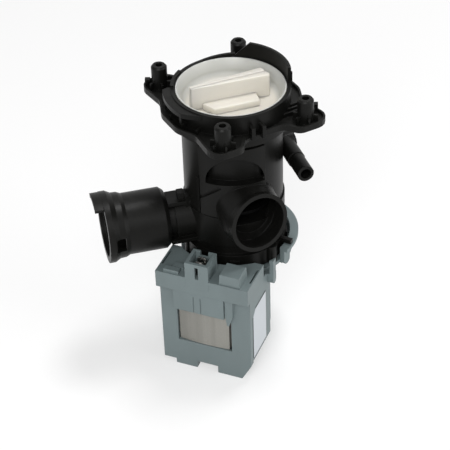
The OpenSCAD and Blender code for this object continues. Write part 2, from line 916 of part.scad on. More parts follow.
module outlet_sleeve() {
    color(black) {
        difference() {
            union() {
                at_outlet()
                    about_outlet()
                        polygon([[0, sleeve_start], [sleeve_r - 2, sleeve_start],
                            [sleeve_r, sleeve_start + 2.5],
                            [sleeve_r, step_a], [sleeve_r + 1.1, step_b], [sleeve_r + 1.3, step_c],
                            [sleeve_collar_r, step_d], [sleeve_collar_r, sleeve_end], [0, sleeve_end]]);
                at_outlet()
                    rotate([0, 90, 0])
                        arc(sleeve_collar_r - 0.15, sleeve_bore_r + 2.2, step_d + 1,
                            sleeve_end + tab_len, tab_from, tab_to);
            }
            at_outlet() {
                bar([sleeve_start - past, 0, 0], [seat_x + 1, 0, 0], throat_r);
                bar([seat_x, 0, 0], [stop_x + past, 0, 0], flap_room_r);
                bar([stop_x, 0, 0], [sleeve_end + tab_len + past, 0, 0], sleeve_bore_r);
                bar([sleeve_end - mouth_bevel, 0, 0], [sleeve_end + past, 0, 0], sleeve_bore_r + 1);
                block([window_x, 8, window_z], [window_x + window_w, 30, window_z + window_h]);
            }
        }
        flap_ears();
    }
}

// Filter cap, basket and seal

module cap_body() {
    bowl = [for (k = [6:-1:0]) [dish_floor_r + dish_round * sin(15 * k),
        dish_floor_z + dish_round * (1 - cos(15 * k))]];
    rotate_extrude()
        polygon(concat([[0, dish_floor_z - dish_t], [plug_bore_r, dish_floor_z - dish_t],
            [plug_bore_r, plug_end],
            [plug_r, plug_end], [plug_r, groove_z - groove_w / 2], [groove_r, groove_z - groove_w / 2],
            [groove_r, groove_z + groove_w / 2], [plug_r, groove_z + groove_w / 2], [plug_r, skirt_end],
            [skirt_r, skirt_end], [skirt_r, cap_top - cap_rim_t], [cap_r, cap_top - cap_rim_t + 1],
            [cap_r, cap_top], [dish_rim_r, cap_top]], bowl, [[0, dish_floor_z]]));
}

// Grip: a ridge, a lower block that widens to one end, and a step in front of it
module grip() {
    half = grip_len / 2;
    foot = dish_floor_z - 1;
    translate([0, 0, foot])
        linear_extrude(height = grip_h - foot)
            polygon([[-half - 1.5, 5.1], [-half - 0.7, 3.6], [half - 2, -1.9], [half - 2.3, 2]]);
    translate([0, 0, foot])
        linear_extrude(height = grip_h - 0.8 - foot)
            polygon([[-half - 1, 4.2], [-half - 0.6, 3], [half - 1.8, -6.4], [half - 0.6, -5.6],
                [half - 0.5, -4],
                [half - 2.2, 0]]);
    translate([0, 0, foot])
        linear_extrude(height = step_h + 1)
            polygon([[-half + 5, 1], [-half + 8, -8], [half - 11.6, -13], [half - 9, -3]]);
}

module filter_cap() {
    color(cream) {
        cap_body();
        grip();
        for (half = [0, 180])
            arc(lug_out, skirt_r - 1, lug_top - lug_t, lug_top, half - lug_half, half + lug_half);
    }
}

basket_top = plug_end - seat_gap;
basket_r = liner_r - 2 * run_gap;
basket_end = floor_z + 2.5;
basket_mid = (basket_top + basket_end) / 2;

module filter_basket() {
    base_t = 2;
    slat_w = 3;
    slat_depth = 1.8;
    color(carbon) {
        ring(basket_r, 12, basket_top - base_t, basket_top);
        // Clips that snap into the cap's plug
        for (a = [0:90:270])
            rotate([0, 0, a + 30])
                block([plug_bore_r - 2.3, -2.5, basket_top - 1],
                    [plug_bore_r - seat_gap, 2.5, basket_top + 1.8]);
        ring(basket_r, basket_r - 3.6, basket_end, basket_end + base_t);
        for (a = [-30:24:210])
            rotate([0, 0, a])
                block([basket_r - slat_depth, -slat_w / 2, basket_end + 1],
                    [basket_r - 0.2, slat_w / 2, basket_top - 1]);
        arc(basket_r - 0.1, basket_r - 1.9, basket_mid - 1, basket_mid + 1, -34, 214);
    }
}

module cap_seal() {
    color(rubber)
        translate([0, 0, groove_z])
            rotate_extrude()
                translate([tube_bore_r - seat_gap - seal_d / 2, 0]) circle(d = seal_d, $fn = 24);
}

// Check flap

module check_flap() {
    color(rubber)
        at_outlet()
            difference() {
                union() {
                    bar([seat_x + run_gap, 0, 0], [seat_x + run_gap + flap_t, 0, 0], flap_r);
                    bar([pin_x, -knuckle_half, pin_z], [pin_x, knuckle_half, pin_z], knuckle_r);
                    block([seat_x + run_gap, -knuckle_half, flap_r - 4],
                        [seat_x + run_gap + flap_t, knuckle_half, pin_z]);
                }
                bar([pin_x, -20, pin_z], [pin_x, 20, pin_z], pin_r + bearing_gap);
            }
}

module flap_pin() {
    half = knuckle_half + run_gap + ear_t;
    color(steel)
        at_outlet() bar([pin_x, -half, pin_z], [pin_x, half, pin_z], pin_r);
}

// Motor flange with the rotor can

module volute_gasket() {
    color(rubber)
        ring(ring_bore_r - 0.5, volute_bore_r + 0.2, gasket_z, volute_end - gasket_gap);
}

module motor_flange() {
    riser_in = ring_r + 2.4;
    color(grey)
        difference() {
            union() {
                translate([0, 0, gasket_z - gasket_gap - cover_t])
                    cylinder(r = ring_bore_r - 0.4, h = cover_t);
                translate([0, 0, gasket_z - cover_t])
                    cylinder(r = volute_bore_r - 0.4, h = plug_top - gasket_z + cover_t);
                ring(ring_bore_r - 0.4, ring_bore_r - 2.6, flange_bottom, gasket_z - 1);
                translate([0, 0, flange_bottom]) cylinder(r = flange_plate_r, h = flange_plate_t);
                translate([0, 0, can_end]) cylinder(r = can_bore_r + can_t, h = gasket_z - can_end - 1);
                translate([0, 0, flange_bottom])
                    cylinder(r = can_bore_r + 3, h = gasket_z - flange_bottom - 1);
                // Rim that the housing's clip grips
                arc(riser_in + 1.6, riser_in, flange_bottom, rim_top - 0.5, rim_from, rim_to);
                arc(riser_in + 1.4, flange_plate_r - 1, flange_bottom, flange_top, rim_from, rim_to);
                arc(rim_plate_r, riser_in + 0.2, rim_top - rim_plate_t, rim_top, rim_from, rim_to);
                // Round lug that hangs at the rim's end
                rotate([0, 0, hook_turn])
                    translate([riser_in + 0.4, 3, rim_top - 10]) {
                        block([0, -3, 0], [2.8, 3, 9]);
                        rotate([0, 90, 0]) cylinder(r = 3, h = 2.8);
                    }
            }
            translate([0, 0, can_end + can_floor_t])
                cylinder(r = can_bore_r, h = front_bearing_top - 0.5 - can_end - can_floor_t);
            translate([0, 0, front_bearing_top - 2]) cylinder(r = seal_seat_r, h = 12);
        }
}

module front_bearing() {
    color(carbon)
        ring(bearing_r, shaft_r + bearing_gap, front_bearing_top - 0.7 - bearing_len,
            front_bearing_top - 0.7);
}

module rear_bearing() {
    bush_z = can_end + can_floor_t + 0.3;
    color(carbon)
        ring(bearing_r, shaft_r + bearing_gap, bush_z, bush_z + bearing_len);
}

module front_grommet() {
    color(rubber)
        ring(hub_seat_r, bearing_r, front_bearing_top - 0.7 - bearing_len, front_bearing_top - 0.7);
}

module rear_grommet() {
    color(rubber)
        ring(hub_seat_r, bearing_r, can_end + can_floor_t + 0.1,
            can_end + can_floor_t + 0.1 + rear_seat_len);
}

module shaft_seal() {
    color(rubber)
        difference() {
            translate([0, 0, front_bearing_top - 0.6])
                cylinder(r = seal_seat_r - 0.05, h = plug_top - front_bearing_top + 0.6);
            translate([0, 0, front_bearing_top - 2]) cylinder(r = shaft_r + bearing_gap, h = 20);
        }
}

// Rotor

module rotor_shaft() {
    color(steel)
        translate([0, 0, shaft_end]) cylinder(r = shaft_r, h = shaft_top - shaft_end);
}

module rotor_magnet() {
    color([0.2, 0.2, 0.22])
        ring(magnet_r, shaft_r, magnet_end, magnet_top);
}

module magnet_sleeve() {
    color(cream)
        difference() {
            ring(magnet_r + sleeve_t, shaft_r, magnet_end - 1.2, magnet_top + 1.2);
            ring(magnet_r, 0.5, magnet_end, magnet_top);
        }
}

module thrust_washers() {
    front_z = front_bearing_top - 0.7 - bearing_len;
    rear_z = can_end + can_floor_t + 0.3 + bearing_len;
    color(bronze) {
        ring(washer_r, shaft_r, front_z - washer_gap - washer_t, front_z - washer_gap);
        ring(washer_r, shaft_r, rear_z + washer_gap, rear_z + washer_gap + washer_t);
    }
}

module impeller_drive() {
    color([0.8, 0.8, 0.78])
        difference() {
            union() {
                translate([0, 0, dog_z]) cylinder(r = dog_core_r, h = dog_h);
                arc(dog_r, dog_core_r - 1, dog_z, dog_z + dog_h, -dog_angle / 2, dog_angle / 2);
            }
            translate([0, 0, dog_z - 1]) cylinder(r = shaft_r, h = dog_h + 2);
        }
}

module impeller() {
    // At rest the stop lies just behind the drive dog, and play degrees of free turn lie ahead
    spare = (360 - dog_angle - stop_angle - play) / 2;
    stop_from = dog_angle / 2 + spare;
    color([0.16, 0.16, 0.17]) {
        difference() {
            union() {
                translate([0, 0, impeller_z]) cylinder(r = hub_r, h = hub_top - impeller_z);
                ring(impeller_r, hub_r - 1, impeller_z, impeller_z + disc_t);
            }
            translate([0, 0, impeller_z - 1]) cylinder(r = hollow_r, h = hollow_top - impeller_z + 1);
            translate([0, 0, impeller_z]) cylinder(r = shaft_r + bearing_gap, h = 30);
        }
        arc(hollow_r + 0.5, stop_r, impeller_z, hollow_top + 0.5, stop_from, stop_from + stop_angle);
        for (i = [0:blade_count - 1])
            rotate([0, 0, i * 360 / blade_count])
                block([hub_r - 0.5, -blade_t / 2, impeller_z + 1],
                    [impeller_r - 0.3, blade_t / 2, impeller_z + disc_t + blade_h]);
    }
}

// Motor frame, in the turned frame of the motor block

module rear_outline(grow, front) {
    w = rear_w + grow;
    translate([-w, front]) square([2 * w, rear_round_y - front]);
    intersection() {
        translate([-w, rear_round_y - 1]) square([2 * w, rear_r + 10]);
        translate([0, rear_round_y]) circle(r = rear_r + grow);
    }
}

module window_cut() {
    block([window_left, -body_front - 1, window_bottom],
        [window_right, -body_front + wall_t + 1, window_top]);
}

module frame_box() {
    difference() {
        union() {
            block([-half_w, -body_front, belly_z], [half_w, body_back, top_z + top_t]);
            translate([0, 0, belly_z])
                linear_extrude(height = top_z + top_t - belly_z) rear_outline(0, body_back - 3);
        }
        block([-half_w + wall_t, -body_front + wall_t, belly_z - 1],
            [half_w - wall_t, body_back - wall_t, top_z]);
        translate([0, 0, belly_z - 1])
            linear_extrude(height = top_z - belly_z + 1) rear_outline(-rear_t, body_back - 4);
        window_cut();
        translate([0, 0, top_z - 1]) cylinder(r = can_bore_r + can_t + 0.3, h = top_t + 2);
    }
}

module front_foot() {
    skirt_t = 4.2;
    difference() {
        union() {
            block([-half_w, -body_front, foot_z], [half_w, -body_front + skirt_t, belly_z - seat_gap]);
            block([-half_w, -body_front, foot_z], [half_w, -body_front + wall_t, belly_z + 1]);
        }
        block([notch_x - notch_w / 2, -body_front - 1, foot_z - 1],
            [notch_x + notch_w / 2, -body_front + skirt_t + 1, foot_z + notch_h]);
        block([-half_w - 1, -body_front - 1, foot_z - 1],
            [-half_w + 8, -body_front + skirt_t + 1, foot_z + 3.4]);
        // Slanted lower corner
        translate([0, -body_front + skirt_t + 1, 0])
            rotate([90, 0, 0])
                linear_extrude(height = skirt_t + 2)
                    polygon([[half_w - slant_w, foot_z], [half_w - slant_w, foot_z - 2],
                        [half_w + 2, foot_z - 2],
                        [half_w + 2, foot_z + slant_h], [half_w, foot_z + slant_h]]);
    }
}

module motor_collar() {
    lug_low = deck_z - 17.6;
    difference() {
        union() {
            block([-half_c, -collar_front, collar_end], [half_c, collar_back, deck_z]);
            block([-half_w, -body_front, top_z], [half_w, body_back, collar_end + 1]);
            // Lug on the right side, with a round lower end
            block([half_w - 1, -21.4, lug_low], [half_w + 4, -16.6, deck_z - 2]);
            translate([half_w - 1, -19, lug_low]) rotate([0, 90, 0]) cylinder(r = 2.4, h = 5);
        }
        translate([0, 0, recess_z]) cylinder(r = recess_r + 0.1, h = 20);
        // Slots beside the deck
        for (s = [-1, 1])
            block([s > 0 ? half_c - 1.9 : -half_c + 0.9, -47.5, deck_z - 4],
                [s > 0 ? half_c - 0.9 : -half_c + 1.9, -34, deck_z + 1]);
    }
}

// Raised panel between the collar and the window
module front_panel() {
    difference() {
        union() {
            block([panel_left, -collar_front + 0.6, panel_end], [panel_right, -body_front, collar_end + 1]);
            block([panel_left, -collar_front + 1, window_top + 0.4],
                [panel_right, -body_front + 1, collar_end + 1]);
        }
        for (x = [-6, -1.5])
            block([x, -collar_front, panel_end - 1], [x + 0.7, -collar_front + 1.1, panel_end + groove_h]);
    }
}

// Tapered tab that hangs beside the core
module window_tab() {
    tip = panel_end - 5;
    translate([0, -body_front, 0])
        rotate([90, 0, 0])
            linear_extrude(height = 3)
                polygon([[panel_right + 0.4, collar_end + 1], [panel_right + 5.6, collar_end + 1],
                    [panel_right + 5.2, panel_end + 2], [panel_right + 2.9, tip],
                    [panel_right + 1.7, tip], [panel_right + 0.4, panel_end + 2]]);
    block([panel_right + 0.4, -body_front - 1, window_top + 0.5],
        [panel_right + 5.6, -body_front + 1, collar_end + 1]);
}

module connector_shell() {
    difference() {
        block([plug_left, plug_front, plug_base], [plug_right, plug_back, plug_top_z]);
        block([plug_left + plug_walls, plug_front + plug_walls, plug_floor],
            [plug_right - plug_walls, plug_back - 1.4, plug_top_z + 1]);
        // Slit in the front wall and notch in the rear wall
        block([plug_mid - 1.1, plug_front - 1, plug_floor + 1.4],
            [plug_mid + 1.1, plug_front + plug_walls + 1, plug_top_z - 2.2]);
        block([plug_mid - 2.5, plug_back - 3, plug_top_z - 3.4],
            [plug_mid + 2.5, plug_back + 1, plug_top_z + 1]);
    }
}

// Blank block beside the connector
module blank_block() {
    left = half_c - 18.4;
    right = half_c - 4.7;
    translate([0, -collar_front + 12.8, 0])
        rotate([90, 0, 0])
            linear_extrude(height = 12)
                polygon([[left, deck_z - 1], [right, deck_z - 1], [right - 0.8, deck_z + 7.3],
                    [left + 0.8, deck_z + 7.3]]);
}

module deck_bumps() {
    x = -half_c + 4.9;
    y = -collar_front;
    block([x, y + 1.1, deck_z - 1], [x + 9.7, y + 4.9, deck_z + 2.2]);
    block([x + 4, y + 6.1, deck_z - 1], [x + 10.9, y + 10.3, deck_z + 1.4]);
}

// Passages for the two terminals
module terminal_slots() {
    for (y = [tab_front_y, tab_rear_y])
        block([plug_mid - tab_w / 2 - seat_gap, y - tab_t / 2 - seat_gap, tab_end - 1],
            [plug_mid + tab_w / 2 + seat_gap, y + tab_t / 2 + seat_gap, plug_top_z + 5]);
}

module motor_frame() {
    color(grey)
        in_motor()
            difference() {
                union() {
                    frame_box();
                    front_foot();
                    motor_collar();
                    front_panel();
                    window_tab();
                    connector_shell();
                    blank_block();
                    deck_bumps();
                }
                terminal_slots();
            }
}

// Cover under the motor, with a cup that the pump stands on
module motor_cover() {
    fit_gap = wall_t + seat_gap;
    color(grey)
        in_motor()
            difference() {
                union() {
                    block([-half_w + fit_gap, -body_front + fit_gap, belly_z],
                        [half_w - fit_gap, body_back - fit_gap, belly_z + cup_t]);
                    translate([0, 0, belly_z - 1])
                        linear_extrude(height = cup_t + 1) rear_outline(-rear_t - seat_gap, body_back - 3);
                    translate([0, 0, foot_z])
                        linear_extrude(height = belly_z - seat_gap - foot_z) rear_outline(0, body_back - 3);
                }
                translate([0, 0, foot_z + 2])
                    linear_extrude(height = 30) rear_outline(-rear_t - cup_t, body_back - 3 + cup_t);
            }
}

module core_outline() {
    bow_r = (leg_out * leg_out + bow * bow) / (2 * bow);
    difference() {
        union() {
            intersection() {
                translate([0, bight_front + bow_r]) circle(r = bow_r, $fn = 180);
                translate([-leg_out, bight_front - 1]) square([2 * leg_out, bight_back - bight_front + 1]);
            }
            for (s = [-1, 1])
                translate([s > 0 ? leg_in : -leg_out, bight_back - 1])
                    square([leg_w, pole_front - bight_back + 2]);
            translate([-pole_out, pole_front]) square([2 * pole_out, rear_round_y - pole_front]);
            intersection() {
                translate([0, rear_round_y]) circle(r = pole_out);
                translate([-pole_out, 0]) square([2 * pole_out, pole_back]);
            }
        }
        circle(r = pole_gap_r);
        translate([-3, pole_front - 1]) square([6, 40]);
        // Step that leaves the right end of the window open
        translate([bight_right, bight_front - 1]) square([10, 5]);
    }
}

module stator_core() {
    color(steel)
        in_motor()
            translate([0, 0, stack_z - stack_t / 2]) linear_extrude(height = stack_t) core_outline();
}

// Hollow former round one leg, for side s
module bobbin(s) {
    half = stack_t / 2 + seat_gap;
    in_motor()
        difference() {
            union() {
                block_side(s, leg_in - spool_t, coil_front, stack_z - half - spool_t,
                    leg_out + spool_t, coil_back, stack_z + half + spool_t);
                for (y = [coil_front, coil_back - cheek_t])
                    block_side(s, cheek_in, y, stack_z - half - spool_t - coil_h - cheek_edge,
                        cheek_out, y + cheek_t, stack_z + half + spool_t + coil_h + cheek_edge);
            }
            block_side(s, leg_in - seat_gap, coil_front - 1, stack_z - half,
                leg_out + seat_gap, coil_back + 1, stack_z + half);
        }
}

// Block on side s of the motor, given by its near and far corner
module block_side(s, x0, y0, z0, x1, y1, z1) {
    block([s > 0 ? x0 : -x1, y0, z0], [s > 0 ? x1 : -x0, y1, z1]);
}

module winding(s) {
    half = stack_t / 2 + seat_gap + spool_t + 0.05;
    in_motor()
        difference() {
            block_side(s, leg_in - spool_t - coil_t, coil_front + cheek_t + 0.1, stack_z - half - coil_h,
                leg_out + spool_t + coil_t, coil_back - cheek_t - 0.1, stack_z + half + coil_h);
            block_side(s, leg_in - spool_t - 0.05, coil_front, stack_z - half,
                leg_out + spool_t + 0.05, coil_back, stack_z + half);
        }
}

module bobbin_left() { color(cream) bobbin(-1); }
module bobbin_right() { color(cream) bobbin(1); }
module winding_left() { color(copper) winding(-1); }
module winding_right() { color(copper) winding(1); }

// Wire from coil to coil
module coil_link() {
    z = stack_z - stack_t / 2 - spool_t - coil_h + 1;
    reach = leg_in - spool_t - coil_t;
    color(copper)
        in_motor() bar([-reach, coil_front + 4, z], [reach, coil_front + 4, z], 0.45);
}

// Flat terminal whose middle stands at y
module terminal(y) {
    hole_z = tab_top - tab_hole_drop;
    in_motor()
        difference() {
            block([plug_mid - tab_w / 2, y - tab_t / 2, tab_end],
                [plug_mid + tab_w / 2, y + tab_t / 2, tab_top]);
            bar([plug_mid, y - 2, hole_z], [plug_mid, y + 2, hole_z], tab_hole_r);
        }
}

module terminal_front() { color(steel) terminal(tab_front_y); }
module terminal_rear() { color(steel) terminal(tab_rear_y); }

module rating_label() {
    color([0.75, 0.76, 0.79])
        in_motor()
            translate([half_w, 0, 0])
                rotate([90, 0, 90])
                    linear_extrude(height = label_t)
                        polygon([[label_front, label_bottom], [label_back, label_bottom],
                            [label_back, label_top], [label_front + label_cut, label_top],
                            [label_front, label_top - label_cut]]);
}

filter_mouth();
filter_tube();
volute_housing();
outlet_sleeve();
filter_cap();
filter_basket();
cap_seal();
check_flap();
flap_pin();
volute_gasket();
impeller();
impeller_drive();
rotor_shaft();
rotor_magnet();
magnet_sleeve();
front_bearing();
rear_bearing();
front_grommet();
rear_grommet();
thrust_washers();
shaft_seal();
motor_flange();
motor_frame();
motor_cover();
stator_core();
bobbin_left();
bobbin_right();
winding_left();
winding_right();
coil_link();
terminal_front();
terminal_rear();
rating_label();
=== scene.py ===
"""Washer drain pump: finishes for its solids, the finer pieces, and the studio around it.

Lengths are in metres unless a name ends in _mm, and angles are in degrees. Z is the axis of the
filter and of the motor.
"""

from __future__ import annotations

import json
import logging
import math
from abc import ABC, abstractmethod
from collections.abc import Callable, Mapping, Sequence
from dataclasses import dataclass, field, replace
from enum import Enum
from functools import cached_property
from typing import Any, Union

import bmesh
import bpy
from mathutils import Matrix, Vector

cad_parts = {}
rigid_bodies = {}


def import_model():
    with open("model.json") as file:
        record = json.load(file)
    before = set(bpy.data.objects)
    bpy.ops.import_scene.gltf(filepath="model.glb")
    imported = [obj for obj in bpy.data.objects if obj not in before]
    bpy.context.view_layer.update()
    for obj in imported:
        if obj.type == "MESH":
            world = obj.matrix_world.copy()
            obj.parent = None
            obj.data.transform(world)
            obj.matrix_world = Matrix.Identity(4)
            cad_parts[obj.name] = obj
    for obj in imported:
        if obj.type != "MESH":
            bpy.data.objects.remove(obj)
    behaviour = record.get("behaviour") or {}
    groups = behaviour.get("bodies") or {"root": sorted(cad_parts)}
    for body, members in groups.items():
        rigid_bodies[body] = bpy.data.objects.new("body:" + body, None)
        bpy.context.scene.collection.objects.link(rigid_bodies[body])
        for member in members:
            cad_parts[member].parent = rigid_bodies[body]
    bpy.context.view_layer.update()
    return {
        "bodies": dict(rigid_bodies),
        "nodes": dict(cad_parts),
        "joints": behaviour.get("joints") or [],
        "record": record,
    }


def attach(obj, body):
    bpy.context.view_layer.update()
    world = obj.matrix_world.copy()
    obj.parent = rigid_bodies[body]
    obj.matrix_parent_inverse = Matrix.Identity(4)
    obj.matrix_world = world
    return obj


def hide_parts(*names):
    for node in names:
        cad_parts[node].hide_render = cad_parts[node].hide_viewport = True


log = logging.getLogger("drain_pump")

Pair = tuple[float, float]
Triple = tuple[float, float, float]
Outline = tuple[Pair, ...]
Material = bpy.types.Material
Piece = bpy.types.Object
Socket = bpy.types.NodeSocket
Value = Union[float, "Num"]

MM = 0.001
EVEN: Triple = (1.0, 1.0, 1.0)
MOTOR_TURN = -51.0
LABEL_SPAN_MM: Pair = (-46.6, -24.5)
LABEL_RISE_MM: Pair = (-164.6, -127.5)


class Side(Enum):
    """Side of the motor, seen from its front."""

    LEFT = -1
    RIGHT = 1


class Part(Enum):
    """Kind of mesh part, with the name of its select mode."""

    EDGES = "EDGE"
    FACES = "FACE"


@dataclass(frozen=True)
class Pattern:
    """Smooth noise on a surface.

    Attributes:
        scale: features per metre.
        detail: number of finer layers.
        rough: weight of the finer layers.
        stretch: factor on each axis, below 1 where the features are drawn out.
        ends: the two values that become 0 and 1, or none to leave the noise as it is.
    """

    scale: float
    detail: float = 2.0
    rough: float = 0.5
    stretch: Triple = EVEN
    ends: Pair | None = None


class Num:
    """A value socket that takes part in Python arithmetic."""

    def __init__(self, web: Web, socket: Socket) -> None:
        """Wraps one output socket of a web of nodes."""
        self.web = web
        self.socket = socket

    def __add__(self, other: Value) -> Num:
        """Sum."""
        return self.web.maths("ADD", self, other)

    def __radd__(self, other: Value) -> Num:
        """Sum, reflected."""
        return self.web.maths("ADD", other, self)

    def __sub__(self, other: Value) -> Num:
        """Difference."""
        return self.web.maths("SUBTRACT", self, other)

    def __rsub__(self, other: Value) -> Num:
        """Difference, reflected."""
        return self.web.maths("SUBTRACT", other, self)

    def __mul__(self, other: Value) -> Num:
        """Product."""
        return self.web.maths("MULTIPLY", self, other)

    def __rmul__(self, other: Value) -> Num:
        """Product, reflected."""
        return self.web.maths("MULTIPLY", other, self)

    def __pow__(self, exponent: float) -> Num:
        """Power."""
        return self.web.maths("POWER", self, exponent)

    def __abs__(self) -> Num:
        """Size without its sign."""
        return self.web.maths("ABSOLUTE", self)

    def swing(self, reach: float) -> Num:
        """A value from 0 to 1, made to swing about zero by a reach from end to end."""
        return (self - 0.5) * reach

    def wave(self, length: float) -> Num:
        """Rises from 0 to 1 and falls back once in every length."""
        return self.web.maths("SINE", self * (2.0 * math.pi / length)) * 0.5 + 0.5

    def faded(self, low: float, high: float) -> Num:
        """Runs smoothly from 0 at low to 1 at high.

        Args:
            low: value that gives 0.
            high: value that gives 1.

        Returns:
            The wrapped result.
        """
        sockets = {"Value": self, "From Min": low, "From Max": high, "To Min": 0.0, "To Max": 1.0}
        ramp = self.web.add("ShaderNodeMapRange", {"interpolation_type": "SMOOTHSTEP"}, sockets)
        return Num(self.web, ramp.outputs["Result"])


class Web:
    """The nodes of one material or world."""

    def __init__(self, owner: Material | bpy.types.World) -> None:
        """Empties the nodes of a material or world.

        Args:
            owner: the material or world.
        """
        owner.use_nodes = True
        self.owner = owner
        self.tree = owner.node_tree
        self.tree.nodes.clear()

    def add(
        self, kind: str, settings: Mapping[str, Any], sockets: Mapping[Any, Any]
    ) -> bpy.types.Node:
        """Adds one node.

        Args:
            kind: the node's type.
            settings: properties of the node, set first.
            sockets: input sockets by name or number, each a value, a socket or a Num.

        Returns:
            The new node.
        """
        node = self.tree.nodes.new(kind)
        for key, value in settings.items():
            setattr(node, key, value)
        for key, value in sockets.items():
            value = value.socket if isinstance(value, Num) else value
            if isinstance(value, Socket):
                self.tree.links.new(value, node.inputs[key])
            else:
                node.inputs[key].default_value = value
        return node

    def maths(self, operation: str, *operands: Value) -> Num:
        """Adds a Math node on numbers or wrapped sockets."""
        node = self.add("ShaderNodeMath", {"operation": operation}, dict(enumerate(operands)))
        return Num(self, node.outputs[0])

    @cached_property
    def coords(self) -> Socket:
        """Object coordinates, in metres."""
        return self.add("ShaderNodeTexCoord", {}, {}).outputs["Object"]

    def axis(self, vector: Socket, name: str) -> Num:
        """One coordinate of a vector, by its name X, Y or Z."""
        return Num(self, self.add("ShaderNodeSeparateXYZ", {}, {0: vector}).outputs[name])

    def mapped(self, vector: Socket, name: str, value: Triple) -> Socket:
        """Coordinates passed through a Mapping node that has one socket set."""
        return self.add("ShaderNodeMapping", {}, {"Vector": vector, name: value}).outputs[0]

    def squared(self) -> Socket:
        """Object coordinates turned square to the motor."""
        return self.mapped(self.coords, "Rotation", (0.0, 0.0, math.radians(-MOTOR_TURN)))

    def noise(self, vector: Socket, pattern: Pattern) -> Num:
        """Lays a pattern over coordinates.

        Args:
            vector: the coordinates.
            pattern: the noise.

        Returns:
            The wrapped noise, about 0.5 where it has no ends.
        """
        if pattern.stretch != EVEN:
            vector = self.mapped(vector, "Scale", pattern.stretch)
        sockets = {
            "Vector": vector,
            "Scale": pattern.scale,
            "Detail": pattern.detail,
            "Roughness": pattern.rough,
        }
        value = Num(self, self.add("ShaderNodeTexNoise", {}, sockets).outputs["Fac"])
        return value if pattern.ends is None else value.faded(*pattern.ends)

    def colours(self, share: Value, one: Any, two: Any) -> Socket:
        """Blends two colours or colour sockets, by the share of the second."""
        node = self.add("ShaderNodeMix", {"data_type": "RGBA"}, {0: share, 6: one, 7: two})
        return node.outputs[2]

    def relief(self, height: Value, depth_mm: float, normal: Socket | None = None) -> Socket:
        """Turns a height into a bumped normal.

        Args:
            height: the height, 0 to 1.
            depth_mm: real height of 1.
            normal: the normal below, if any.

        Returns:
            The normal socket.
        """
        sockets: dict[str, Any] = {"Height": height, "Distance": depth_mm * MM, "Strength": 1.0}
        if normal is not None:
            sockets["Normal"] = normal
        return self.add("ShaderNodeBump", {}, sockets).outputs[0]

    def soft_edges(self, radius_mm: float) -> Socket:
        """Normal that rounds sharp edges by a radius."""
        return self.add("ShaderNodeBevel", {"samples": 6}, {"Radius": radius_mm * MM}).outputs[0]

    def finish(self, shader: Socket) -> Material:
        """Links the surface and gives the material."""
        self.add("ShaderNodeOutputMaterial", {}, {"Surface": shader})
        return self.owner


def rgba(colour: Triple, gain: float = 1.0) -> tuple[float, float, float, float]:
    """Colour with its alpha, made lighter or darker by a gain."""
    return (colour[0] * gain, colour[1] * gain, colour[2] * gain, 1.0)


@dataclass(frozen=True)
class Finish(ABC):
    """One finish.

    Attributes:
        name: name of its material.
        colour: its base colour.
    """

    name: str
    colour: Triple

    @abstractmethod
    def sockets(self, web: Web) -> dict[str, Any]:
        """Makes what goes into the sockets of its shader.

        Args:
            web: the nodes of its material.

        Returns:
            A value, a socket or a Num for each socket, by the socket's name.
        """

    def build(self) -> Material:
        """Makes the material."""
        web = Web(bpy.data.materials.new(self.name))
        return web.finish(web.add("ShaderNodeBsdfPrincipled", {}, self.sockets(web)).outputs[0])


